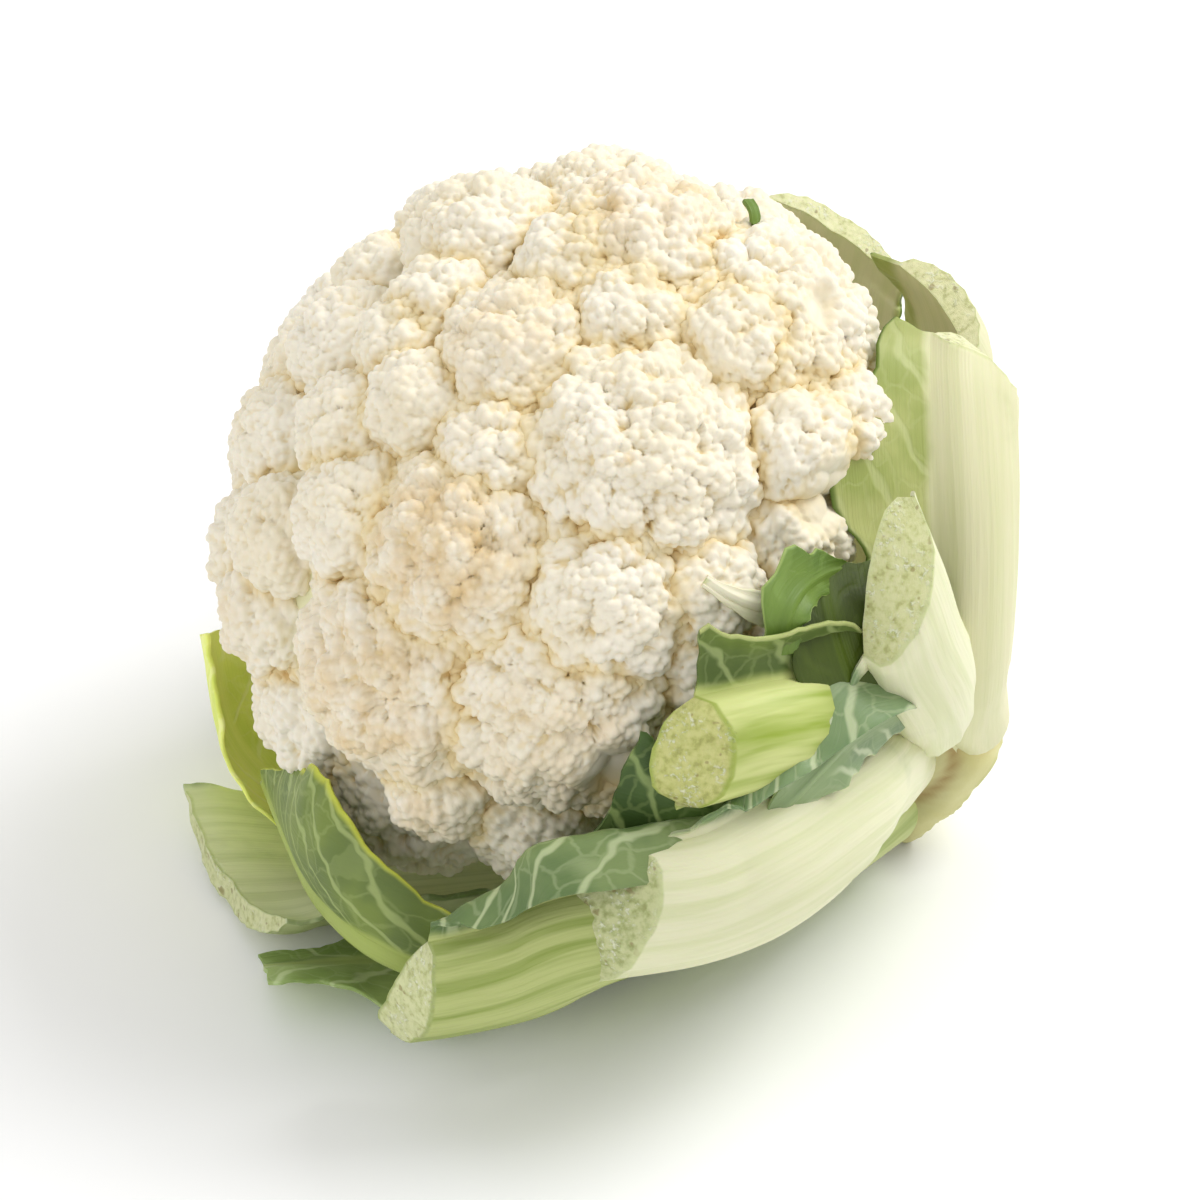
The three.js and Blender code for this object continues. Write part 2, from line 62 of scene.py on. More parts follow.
# The plant's own frame, as the CAD has it: x is azimuth 0, y is azimuth 90, z is the crown.
CROWN_TILT = math.radians(50.75)
CROWN_HEADING = math.radians(188.25)
crown = Vector((math.cos(CROWN_HEADING), math.sin(CROWN_HEADING), 0)) * math.sin(CROWN_TILT)
crown.z = math.cos(CROWN_TILT)
side = (toward - crown * toward.dot(crown)).normalized()
plant = Matrix((side, crown.cross(side), crown)).transposed()


def stand(points):
    """Points of the plant's own frame, in millimetres, where they are on the table."""
    return points @ np.array(plant.transposed()) * MM + np.array(HEAD_CENTRE)


def unit(azimuth):
    """The direction straight out from the plant's axis at an azimuth."""
    return np.array([math.cos(azimuth), math.sin(azimuth), 0.0])


def linear(colour):
    """An sRGB hex colour as the linear one that shaders take."""
    parts = [int(colour[k : k + 2], 16) / 255 for k in (1, 3, 5)]
    return [p / 12.92 if p <= 0.04045 else ((p + 0.055) / 1.055) ** 2.4 for p in parts] + [1]


def add(material, kind, inputs=None, **settings):
    """Adds a node. An input is a value, or the socket that feeds it."""
    node = material.node_tree.nodes.new("ShaderNode" + kind)
    for name, value in settings.items():
        setattr(node, name, value)
    for name, value in (inputs or {}).items():
        if isinstance(value, bpy.types.NodeSocket):
            material.node_tree.links.new(value, node.inputs[name])
        else:
            node.inputs[name].default_value = value
    return node


def scatter(a, b):
    """A fixed number from 0 to 1 for each pair of whole numbers, for small irregularities."""
    wild = math.sin(a * 127.1 + b * 311.7) * 43758.5453
    return wild - math.floor(wild)


def finish_piece(piece, node, material):
    """Gives the piece its material, hangs it under the root body and hides the solid it stands for."""
    piece.data.materials.clear()
    piece.data.materials.append(material)
    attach(piece, "root")
    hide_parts(node)


# The curd: some fifty florets of undeveloped flower buds, packed into one dome. Each floret
# is a dome of lobes, each lobe of knobs and each knob of beads, all grown in a spiral.
HEAD_RADIUS = 78.0
CROWN_HEIGHT = 66.0
HEAD_SEMIAXES = np.array([HEAD_RADIUS, HEAD_RADIUS, CROWN_HEIGHT])
# [azimuth, degrees from the crown, half width, how far it stands out]
FLORETS = [
    [136, 9, 12, 1], [-25, 13, 11, 0], [-135, 17, 11, 1], [39, 17, 9, 0], [57, 23, 11, 0],
    [133, 26, 9, 0], [9, 24, 10, 0], [-41, 27, 13, 0], [-92, 27, 11, 0], [85, 34, 15, 4],
    [33, 38, 17, 0], [4, 42, 12, -3], [-103, 45, 12, 0], [-20, 46, 22, 0], [57, 48, 11, 1],
    [-53, 56, 25, 1], [43, 58, 12, -1], [62, 61, 20, 5], [17, 68, 26, 1], [-9, 77, 17, 0],
    [42, 79, 11, 3], [-61, 83, 10, -1], [-31, 84, 24, 1], [52, 90, 23, 7], [1, 93, 10, 0],
    [29, 97, 11, 4], [38, 104, 13, 5], [18, 108, 13, 0], [-8, 104, 12, 0], [122, 43, 15, 1],
    [165, 38, 17, 1], [-158, 44, 15, 1], [-128, 43, 13, 1], [180, 20, 12, 0], [92, 62, 18, 0],
    [124, 68, 19, 0], [157, 66, 20, 0], [-169, 68, 18, 0], [-137, 70, 20, 0], [-100, 70, 20, -1],
    [80, 93, 19, 0], [108, 94, 19, 0], [140, 95, 20, 0], [173, 96, 20, 0], [-154, 95, 19, 0],
    [-122, 96, 19, 0], [-88, 94, 19, 2], [-58, 104, 13, 0], [-33, 110, 13, 0], [64, 113, 13, 0],
]
FLORET_ROUND = 1.08  # a floret's radius as a share of its half width
LOBE_BASE = 3.0  # a lobe's radius on the smallest floret, in millimetres
LOBE_SHARE = 0.2  # what it gains for each millimetre of half width
LOBE_SPREAD = math.radians(100)
LOBES_APART = 2.3  # the area that a lobe takes up, in squares of its radius
BUMPS_APART = 2.8  # the same for a knob or bead
FEWEST_BUMPS = 5
GOLDEN_ANGLE = math.pi * (3 - math.sqrt(5))
LOBE_SHRINK = 0.9  # room on the lobes for knobs and beads
KNOB = 3.1  # radius, in millimetres
KNOB_RAISED = 0.35  # how far a knob's middle is under its lobe's surface, as a share of it
BEAD = 1.3  # radius
BEAD_RAISED = 0.25
BUMP_SPREAD = math.radians(112)  # how far down a lobe's or a knob's side they grow
FACE_AREA = 0.115  # square millimetres of a floret's faces, before they are raised
BACK_FACE_AREA = 0.26  # the same on the side turned away


def turned(directions, axis):
    """Directions about +Z turned to stand about the axis."""
    turn = Vector((0, 0, 1)).rotation_difference(Vector(axis)).to_matrix()
    return directions @ np.array(turn).T


def spiral(count, spread, start):
    """Directions about +Z, evenly apart, as florets, lobes and knobs grow."""
    k = np.arange(count)
    lean = np.arccos(1 - (k + 0.5) / count * (1 - math.cos(spread)))
    angle = k * GOLDEN_ANGLE + start
    return np.stack([np.sin(lean) * np.cos(angle), np.sin(lean) * np.sin(angle), np.cos(lean)], 1)


def floret_lobes(index, azimuth, polar, half_width, raised):
    """The floret's middle, outward direction, radius and lobes as centres and radii."""
    around, down = math.radians(azimuth), math.radians(polar)
    top = (unit(around) * math.sin(down) + np.array([0, 0, math.cos(down)])) * HEAD_SEMIAXES
    outward = top / HEAD_SEMIAXES**2
    outward /= np.linalg.norm(outward)
    radius = FLORET_ROUND * half_width
    middle = top + outward * (raised - radius)
    lobe = LOBE_BASE + LOBE_SHARE * half_width
    area = 2 * math.pi * radius**2 * (1 - math.cos(LOBE_SPREAD))
    count = max(FEWEST_BUMPS, round(area / (LOBES_APART * lobe**2)))
    sizes = np.array([lobe * (0.88 + 0.24 * scatter(index, k)) for k in range(count)])
    away = turned(spiral(count, LOBE_SPREAD, index), outward)
    centres = middle + away * (radius - 0.9 * sizes)[:, None]
    return middle, outward, radius, away, centres, sizes * LOBE_SHRINK


def reach(rays, centre, radius):
    """How far each ray from the origin reaches through a sphere, or 0."""
    along = rays @ centre
    inside = radius**2 - centre @ centre + along**2
    return np.where(inside > 0, along + np.sqrt(np.maximum(inside, 0)), 0)


def bumps(rays, parents, bump, raised, seed):
    """Smaller spheres standing on larger ones. parents holds (centre, radius, direction, which
    rays come near it, their reach). Returns the same for the smaller ones, and all rays' reach."""
    far = np.zeros(len(rays))
    found = []
    for number, (centre, radius, direction, near) in enumerate(parents):
        if len(near) == 0:
            continue
        area = 2 * math.pi * radius**2 * (1 - math.cos(BUMP_SPREAD))
        count = max(FEWEST_BUMPS, round(area / (BUMPS_APART * bump**2)))
        ways = turned(spiral(count, BUMP_SPREAD, number + seed), direction)
        for k, way in enumerate(ways):
            size = bump * (0.8 + 0.4 * scatter(number + seed, k))
            place = centre + way * (radius - raised * size)
            length = reach(rays[near], place, size)
            hit = length > 0
            touched = near[hit]
            far[touched] = np.maximum(far[touched], length[hit])
            found.append((place, size, way, touched, length[hit]))
    return found, far


def near_top(found, far, margin):
    """The same bumps, each with only the rays on which it comes near the surface."""
    return [(c, r, w, near[length > far[near] - margin]) for c, r, w, near, length in found]


def ball(steps):
    """Even rays all round: a cube cut into small squares and blown up into a ball."""
    bpy.ops.object.select_all(action="DESELECT")
    bpy.ops.mesh.primitive_cube_add(size=2)
    piece = bpy.context.object
    bpy.ops.object.mode_set(mode="EDIT")
    bpy.ops.mesh.select_all(action="SELECT")
    bpy.ops.mesh.subdivide(number_cuts=steps - 1)
    bpy.ops.object.mode_set(mode="OBJECT")
    points = np.zeros(len(piece.data.vertices) * 3)
    piece.data.vertices.foreach_get("co", points)
    points = np.tan(points.reshape(-1, 3) * math.pi / 4)
    return piece, points / np.linalg.norm(points, axis=1)[:, None]


DENSE_BEFORE = math.radians(140)  # rays up to here are drawn together
FAR_OFF = 50.0  # millimetres to other florets where none is near
CLOSE_BY = 8  # florets further apart than this don't touch


def gap_to_others(index, points):
    """How far the points are outside the lobes of the florets near this one."""
    gap = np.full(len(points), FAR_OFF)
    middle, _, radius, *_ = plans[index]
    for other, (their_middle, _, their_radius, _, their_centres, their_sizes) in enumerate(plans):
        if other == index or np.linalg.norm(their_middle - middle) > radius + their_radius + CLOSE_BY:
            continue
        apart = np.linalg.norm(points[:, None] - their_centres[None], axis=2) - their_sizes[None]
        gap = np.minimum(gap, apart.min(1))
    return gap


def shows_to(index):
    """How many radians from its outward direction a floret shows between its neighbours."""
    middle, outward, radius, away, centres, sizes = plans[index]
    rays = turned(spiral(500, math.pi, 0), outward)
    far = np.max([reach(rays, c - middle, r) for c, r in zip(centres, sizes)], axis=0)
    points = middle + rays * np.maximum(far, 0.8 * radius)[:, None]
    open_air = (gap_to_others(index, points) > -1) & (((points / HEAD_SEMIAXES) ** 2).sum(1) > 0.7)
    lean = np.arccos(np.clip(rays @ outward, -1, 1))[open_air]
    return min(np.percentile(lean, 97) + math.radians(5), math.radians(110))


def crowd(rays, dense):
    """Rays drawn together about +Z, up to where the floret shows."""
    polar = np.arccos(np.clip(rays[:, 2], -1, 1))
    outer = dense + (polar - DENSE_BEFORE) * (math.pi - dense) / (math.pi - DENSE_BEFORE)
    polar_new = np.where(polar < DENSE_BEFORE, polar * dense / DENSE_BEFORE, outer)
    level = np.linalg.norm(rays[:, :2], axis=1)
    level = np.maximum(level, 1e-9)
    flat = rays[:, :2] / level[:, None] * np.sin(polar_new)[:, None]
    return np.column_stack([flat, np.cos(polar_new)])


plans = [floret_lobes(index, *floret) for index, floret in enumerate(FLORETS)]

# Florets that the sun has tanned, by their place in the list, and how much.
TAN_TOPS = {13: 1.0, 15: 0.85, 17: 0.7, 10: 0.5, 22: 0.4, 21: 0.6, 12: 0.4}
# Knocks that broke the beads off and bared smooth flesh, and small spots that turned brown:
# [azimuth, degrees from the crown, half width in degrees]
BARED = [[24, 103, 9], [-30, 95, 8], [46, 88, 4]]
SPOTS = [[61, 54, 7], [-18, 19, 1.3], [-44, 60, 3], [12, 66, 1.2], [-70, 70, 2]]


def near_spots(points, spots):
    """From 0 away from all spots to 1 in the middle of one."""
    ways = points / HEAD_SEMIAXES
    ways = ways / np.linalg.norm(ways, axis=1)[:, None]
    share = np.zeros(len(points))
    for azimuth, polar, wide in spots:
        around, down = math.radians(azimuth), math.radians(polar)
        spot = unit(around) * math.sin(down) + np.array([0, 0, math.cos(down)])
        away = np.degrees(np.arccos(np.clip(ways @ spot, -1, 1))) / wide
        share = np.maximum(share, np.clip(1.6 - 1.6 * away, 0, 1))
    return share


SEEN_FROM = -0.15  # florets that face the camera more than this get the finer faces


def floret_mesh(index):
    """A floret's ball, its points, how strongly each of them is painted with crease tint and shade, and how
    tanned it is.
    """
    middle, outward, radius, away, centres, sizes = plans[index]
    faces_out = plant @ Vector(outward)
    seen = faces_out.dot(toward) > SEEN_FROM
    dense = shows_to(index)
    area = 2 * math.pi * radius**2 * (1 - math.cos(dense)) / 0.88
    steps = round(math.sqrt(area / (FACE_AREA if seen else BACK_FACE_AREA) / 12))
    piece, even = ball(steps)
    rays = turned(crowd(even, dense), outward)
    local = centres - middle
    # the smooth inside of the dome, and the stem under it
    down = np.maximum(-(rays @ outward), 0)
    floor = radius * (0.8 - 0.1 * down)
    every = np.arange(len(rays))
    lobe_reach = [(c, r, w, every, reach(rays, c, r)) for c, r, w in zip(local, sizes, away)]
    far1 = np.max([found[4] for found in lobe_reach], axis=0)
    knobs, far2 = bumps(rays, near_top(lobe_reach, far1, 1.6), KNOB, KNOB_RAISED, index)
    far2 = np.maximum(far2, np.maximum(far1, floor))
    _, far3 = bumps(rays, near_top(knobs, far2, 0.8), BEAD, BEAD_RAISED, 3 * index)
    far3 = np.maximum(far3, far2)
    bared = near_spots(middle + rays * far2[:, None], BARED)
    far3 = far3 * (1 - bared) + np.maximum(far1, floor) * bared
    points = middle + rays * far3[:, None]
    # how deep each place is: between florets, between lobes, between knobs and between beads
    valley = np.clip(1 - (gap_to_others(index, points) - 1) / 5, 0, 1)
    lobe_depth = np.clip((radius - 0.4 - far1) / (0.35 * sizes.mean()), 0, 1)
    knob_depth = np.clip((far1 + 0.65 * KNOB - far2) / (0.9 * KNOB), 0, 1)
    bead_depth = np.clip((far2 + 0.5 * BEAD - far3) / (0.55 * BEAD), 0, 1)
    # the crease mask paints these places darker and browner: partly the curd's own yellow tint in its
    # creases, partly painted shade
    crease = 0.6 * valley**1.5 + 0.3 * lobe_depth * knob_depth
    crease += (0.25 + 0.3 * knob_depth) * bead_depth**1.3
    crease = np.clip(crease, 0, 1) * (1 - 0.75 * bared)
    tan = TAN_TOPS.get(index, 0.15 * scatter(index, 99))
    tan = tan * np.clip((rays @ outward - 0.55) / 0.35, 0, 1)
    tan = np.maximum(tan, near_spots(points, SPOTS)) * (1 - bared)
    return piece, points, crease, tan


def shape(piece, points, **attributes):
    """Moves the piece's points to their places and stores what its material reads there."""
    mesh = piece.data
    mesh.vertices.foreach_set("co", points.ravel())
    for name, values in attributes.items():
        mesh.attributes.new(name, "FLOAT", "POINT").data.foreach_set("value", values)
    mesh.update()


CURD_PALE = "#f2ecdc"
CURD_CREAM = "#eee5cd"
CURD_TAN = "#dfc595"
# crease colours: partly the curd's yellow tint, partly painted shade in the valleys and creases
CURD_VALLEY_TINT_AND_SHADE = "#e8d5a6"
CURD_CREASE_TINT_AND_SHADE = "#c29b56"


def curd_material():
    """Fresh curd: ivory, matte and slightly waxy, so light goes a little way in. Its creases are painted a
    darker yellow-brown, partly the curd's own tint and partly painted shade, and tops that the sun reached
    are tanned."""
    material = bpy.data.materials.new("curd, fresh ivory")
    material.use_nodes = True
    shader = material.node_tree.nodes["Principled BSDF"]
    where = add(material, "TexCoord").outputs["Object"]
    crease = add(material, "Attribute", attribute_name="crease").outputs["Fac"]
    tan = add(material, "Attribute", attribute_name="tan").outputs["Fac"]
    cloud = add(material, "TexNoise", {"Vector": where, "Scale": 45.0, "Detail": 3.0}).outputs["Fac"]
    grain = add(material, "TexNoise", {"Vector": where, "Scale": 900.0, "Detail": 2.0}).outputs["Fac"]
    pale = add(material, "MapRange", {"Value": cloud, "From Min": 0.35, "From Max": 0.65})
    top = {0: pale.outputs[0], 6: linear(CURD_PALE), 7: linear(CURD_CREAM)}
    top = add(material, "Mix", top, data_type="RGBA")
    ripe = add(material, "TexNoise", {"Vector": where, "Scale": 160.0, "Detail": 4.0}).outputs["Fac"]
    ripe = add(material, "MapRange", {"Value": ripe, "From Min": 0.3, "From Max": 0.7}).outputs[0]
    ripe = add(material, "Math", {0: ripe, 1: tan}, operation="MULTIPLY").outputs[0]
    tanned = add(material, "Mix", {0: ripe, 6: top.outputs[2], 7: linear(CURD_TAN)}, data_type="RGBA")
    # painted shade with yellow tint: valleys and creases get darker, browner colours
    low = add(material, "MapRange", {"Value": crease, "From Min": 0.05, "From Max": 0.5}).outputs[0]
    colour = add(material, "Mix", {0: low, 6: tanned.outputs[2], 7: linear(CURD_VALLEY_TINT_AND_SHADE)}, data_type="RGBA")
    deep = add(material, "MapRange", {"Value": crease, "From Min": 0.5, "From Max": 1.0}).outputs[0]
    colour = {0: deep, 6: colour.outputs[2], 7: linear(CURD_CREASE_TINT_AND_SHADE)}
    colour = add(material, "Mix", colour, data_type="RGBA")
    bump = add(material, "Bump", {"Height": grain, "Strength": 0.25, "Distance": 0.15 * MM})
    material.node_tree.links.new(colour.outputs[2], shader.inputs["Base Color"])
    material.node_tree.links.new(bump.outputs[0], shader.inputs["Normal"])
    shader.inputs["Roughness"].default_value = 0.6
    shader.inputs["Specular IOR Level"].default_value = 0.35
    shader.inputs["Subsurface Weight"].default_value = 0.12
    shader.inputs["Subsurface Radius"].default_value = (1.0, 0.7, 0.4)
    shader.inputs["Subsurface Scale"].default_value = 0.8 * MM
    return material


curd_skin = curd_material()
# neighbouring florets are joined into one piece for each side of the head
SIDES = ("crown", "front", "front_low", "right", "left", "back", "back_low")
REGIONS = {side: [] for side in SIDES}
for index, (azimuth, polar, *_) in enumerate(FLORETS):
    facing = (azimuth + 180) % 360 - 180
    if polar < 40:
        REGIONS["crown"].append(index)
    elif -45 < facing < 45:
        REGIONS["front" if polar < 80 else "front_low"].append(index)
    elif 45 <= facing < 100:
        REGIONS["right"].append(index)
    elif -110 < facing <= -45:
        REGIONS["left"].append(index)
    else:
        REGIONS["back" if polar < 80 else "back_low"].append(index)

for region, members in REGIONS.items():
    florets = []
    for index in members:
        piece, points, crease, tan = floret_mesh(index)
        shape(piece, stand(points), crease=crease, tan=tan)
        florets.append(piece)
    bpy.ops.object.select_all(action="DESELECT")
    for floret in florets:
        floret.select_set(True)
    bpy.context.view_layer.objects.active = florets[0]
    bpy.ops.object.join()
    group = bpy.context.object
    group.name = "curd_" + region
    bpy.ops.object.shade_smooth()
    finish_piece(group, "curd", curd_skin)

# The flesh under the florets: smooth pale branches grown together. It shows at the bottom of
# the gaps between florets, and narrows below them to the neck that the leaves grow round.
CORE_SHARE = 0.84
UNDERSIDE_HEIGHT = 36.0
NECK = [(30.0, -22.0), (26.0, -36.0), (24.0, -50.0)]  # balls: radius and height


def branch_material():
    """The smooth skin of the curd's branches: pale green-white, a little shiny."""
    material = bpy.data.materials.new("curd branches, smooth")
    material.use_nodes = True
    shader = material.node_tree.nodes["Principled BSDF"]
    where = add(material, "TexCoord").outputs["Object"]
    cloud = add(material, "TexNoise", {"Vector": where, "Scale": 70.0, "Detail": 4.0}).outputs["Fac"]
    colours = {0: cloud, 6: linear("#eee9c8"), 7: linear("#d8dca6")}
    colour = add(material, "Mix", colours, data_type="RGBA").outputs[2]
    material.node_tree.links.new(colour, shader.inputs["Base Color"])
    shader.inputs["Roughness"].default_value = 0.5
    return material


piece, rays = ball(28)
rise = CORE_SHARE * np.where(rays[:, 2] > 0, CROWN_HEIGHT, UNDERSIDE_HEIGHT)
level = (rays[:, :2] ** 2).sum(1) / (CORE_SHARE * HEAD_RADIUS) ** 2
core = 1 / np.sqrt(level + (rays[:, 2] / rise) ** 2)
for radius, height in NECK:
    core = np.maximum(core, reach(rays, np.array([0, 0, height]), radius))
shape(piece, stand(rays * core[:, None]))
piece.name = "curd_branches"
bpy.ops.object.shade_smooth()
finish_piece(piece, "curd", branch_material())

# The stump: the thick stem that all leaves grew from, cut through under the lowest ones. Its
# skin carries the scars of leaves that were pulled off, and the cut end shows its pith.
STUMP_PROFILE = [(18.5, -112), (20, -108), (18.5, -102), (18, -94), (19, -84), (22, -72), (25, -61)]
STUMP_MIDDLE = -86.0
STUMP_SKIN_RADIUS = 19  # where scars are measured
SPUR_AZIMUTH = -73  # the torn foot of a leaf stands out here
SPUR_HEIGHT = -110.0
# [azimuth, height, size]
SCARS = [(-22, -98, 6.0), (40, -104, 6.0), (150, -101, 8.0), (-140, -103, 6.0)]


def stump_material():
    """A fresh stump: yellow-green skin, with brown scar edges, and a cream cut end whose ring
    of vessels is greener than the pith."""
    material = bpy.data.materials.new("stump, fresh cut")
    material.use_nodes = True
    shader = material.node_tree.nodes["Principled BSDF"]
    where = add(material, "TexCoord").outputs["Object"]
    read = {}
    for name in ("cut", "from_axis", "scar"):
        read[name] = add(material, "Attribute", attribute_name=name).outputs["Fac"]
    cloud = add(material, "TexNoise", {"Vector": where, "Scale": 90.0, "Detail": 4.0}).outputs["Fac"]
    skin = {0: cloud, 6: linear("#dedbac"), 7: linear("#bfb768")}
    skin = add(material, "Mix", skin, data_type="RGBA").outputs[2]
    brown = {0: read["scar"], 6: skin, 7: linear("#b39a64")}
    skin = add(material, "Mix", brown, data_type="RGBA").outputs[2]
    fleck = add(material, "TexNoise", {"Vector": where, "Scale": 500.0, "Detail": 3.0}).outputs["Fac"]
    ring = add(material, "MapRange", {"Value": read["from_axis"], "From Min": 11.0, "From Max": 14.5})
    pith = {0: ring.outputs[0], 6: linear("#e6e2bd"), 7: linear("#c3c486")}
    pith = add(material, "Mix", pith, data_type="RGBA").outputs[2]
    mottle = add(material, "MapRange", {"Value": fleck, "From Min": 0.5, "From Max": 0.75, "To Max": 0.5})
    pith = {0: mottle.outputs[0], 6: pith, 7: linear("#b39c66")}
    pith = add(material, "Mix", pith, data_type="RGBA").outputs[2]
    colour = add(material, "Mix", {0: read["cut"], 6: skin, 7: pith}, data_type="RGBA").outputs[2]
    bump = add(material, "Bump", {"Height": fleck, "Strength": 0.3, "Distance": 0.3 * MM})
    material.node_tree.links.new(colour, shader.inputs["Base Color"])
    material.node_tree.links.new(bump.outputs[0], shader.inputs["Normal"])
    shader.inputs["Roughness"].default_value = 0.5
    shader.inputs["Subsurface Weight"].default_value = 0.1
    shader.inputs["Subsurface Radius"].default_value = (1.0, 0.8, 0.4)
    shader.inputs["Subsurface Scale"].default_value = 1.0 * MM
    return material


piece, rays = ball(46)
radii, heights = np.array(STUMP_PROFILE).T
level = np.linalg.norm(rays[:, :2], axis=1)
core = np.zeros(len(rays))
for far in np.arange(5, 45, 0.1):
    height = STUMP_MIDDLE + rays[:, 2] * far
    inside = (height > heights[0]) & (height < heights[-1])
    inside &= level * far < np.interp(height, heights, radii)
    core = np.where(inside, far, core)
points = rays * core[:, None] + np.array([0, 0, STUMP_MIDDLE])
around = np.degrees(np.arctan2(points[:, 1], points[:, 0]))
cut = np.clip((heights[0] + 0.6 - points[:, 2]) / 0.4, 0, 1)
scar = np.zeros(len(points))
for azimuth, height, size in SCARS:
    aside = ((around - azimuth + 180) % 360 - 180) * math.pi / 180 * STUMP_SKIN_RADIUS
    from_scar = np.hypot(aside / 1.6, points[:, 2] - height) / size
    rim = np.exp(-(((from_scar - 1) / 0.2) ** 2))
    points[:, :2] *= (1 - 0.05 * np.clip(1.1 - from_scar, 0, 0.6) - 0.02 * rim)[:, None]
    scar = np.maximum(scar, rim * (1 - cut))
from_axis = np.linalg.norm(points[:, :2], axis=1)
from_spur = np.abs((around - SPUR_AZIMUTH + 180) % 360 - 180) / 20
spur = np.maximum(0, 1 - from_spur) * np.maximum(0, 1 - np.abs(points[:, 2] - SPUR_HEIGHT) / 12)
swell = 1 + 0.22 * spur + 0.02 * np.sin(np.radians(around * 5))
swell += 0.012 * np.sin(np.radians(around * 9) + points[:, 2] / 3)
points[:, :2] *= swell[:, None]
points = stand(points)
points[:, 2] = np.maximum(points[:, 2], 0)
shape(piece, points, cut=cut, from_axis=from_axis, scar=scar)
piece.name = "cut_stump"
bpy.ops.object.shade_smooth_by_angle(angle=math.radians(40))
finish_piece(piece, "stump", stump_material())

# The outer leaves: each is a thick fleshy stalk, trimmed to a cut end, between two thin
# blades that are mostly torn away. A flat slab is rolled out for each and bent round the head.
LEAF_FOCUS = np.array([0, 0, -20.0])  # a leaf's outside faces away from here
RIB_OUTSIDE = 0.65  # how much of a stalk's thickness is on its outside
BLADE_THICKNESS = 1.0
FOLD_WIDTH = 12.0  # a blade as wide as this bends all the way, and a narrower one less
WAVE_TURNS = 2.5
LEAF_STATIONS = 9  # how often a toothed edge goes in and out
ALONG_STEP = 1.4  # the slab's squares, in millimetres
RIB_STEP = 1.9
BLADE_STEP = 1.1
EDGE_ROUND = 0.5
LEAST_BLADE = 0.8  # even a bare edge keeps this much blade
SKIN = 1.2  # the part of a stalk's thickness that reaches its edges
SMOOTH_BELOW = math.radians(50)
TABLE_LAYERS = (0.5, 0.1)  # heights of the inside and the outside of a blade that lies on it


def spine_curve(places):
    """A smooth curve through places given as [azimuth, distance, height]: its points and
    directions at even steps of its length."""
    knots = [unit(math.radians(a)) * r + np.array([0, 0, h]) for a, r, h in places]
    knots = [2 * knots[0] - knots[1]] + knots + [2 * knots[-1] - knots[-2]]
    fine = []
    for p0, p1, p2, p3 in zip(knots, knots[1:], knots[2:], knots[3:]):
        d0, d1, d2 = [math.sqrt(np.linalg.norm(b - a)) for a, b in ((p0, p1), (p1, p2), (p2, p3))]
        start = ((p1 - p0) / d0 - (p2 - p0) / (d0 + d1) + (p2 - p1) / d1) * d1
        end = ((p2 - p1) / d1 - (p3 - p1) / (d1 + d2) + (p3 - p2) / d2) * d1
        t = np.linspace(0, 1, 60, endpoint=False)[:, None]
        cubic = (2 * p1 - 2 * p2 + start + end) * t**3 + (3 * p2 - 3 * p1 - 2 * start - end) * t**2
        fine.append(cubic + start * t + p1)
    fine = np.vstack(fine + [knots[-2][None]])
    lengths = np.concatenate([[0], np.cumsum(np.linalg.norm(np.diff(fine, axis=0), axis=1))])
    steps = max(12, round(lengths[-1] / ALONG_STEP))
    even = np.linspace(0, lengths[-1], steps + 1)
    points = np.column_stack([np.interp(even, lengths, fine[:, k]) for k in range(3)])
    ways = np.gradient(points, axis=0)
    return points, ways / np.linalg.norm(ways, axis=1)[:, None], lengths[-1]


def spread_out(values, share):
    """A list of evenly spaced values, read at shares of the way along."""
    return np.interp(share, np.linspace(0, 1, len(values)), values)


def ripple(x, seed):
    """Smooth irregular waves, from about -1 to 1."""
    return sum(math.sqrt(0.5) ** k * np.sin(x * 1.7**k + seed * (k + 1.3)) for k in range(4)) / 2.2


def half_section(side, rib, thick, blade, columns, cup, curl, fold_from, fold_to):
    """Half of a leaf's section at every station: where its middle line runs, its direction
    there, half its swelling, and shares across the stalk and the blade."""
    half = rib / 2
    fold = np.radians(curl) * np.minimum(1, blade / FOLD_WIDTH)
    fold = fold * np.clip((columns - 1 - fold_from) / (fold_to - fold_from), 0, 1)
    distance = np.where(columns <= 1, columns * half, half + (columns - 1) * blade)
    on_rib = np.minimum(1, distance / half)
    on_blade = np.maximum(0, columns - 1) * np.ones_like(distance)
    bend = fold - np.radians(cup / 2) * on_rib
    middle_bend = (bend + np.column_stack([np.zeros(len(bend)), bend[:, :-1]])) / 2
    step = np.diff(np.column_stack([np.zeros(len(distance)), distance]), axis=1)
    across = side * np.cumsum(np.cos(middle_bend) * step, axis=1)
    out = np.cumsum(np.sin(middle_bend) * step, axis=1)
    swell = (thick - SKIN) * np.maximum(0, 1 - on_rib**2) ** 0.6
    return across, out, bend, swell, side * distance, on_blade


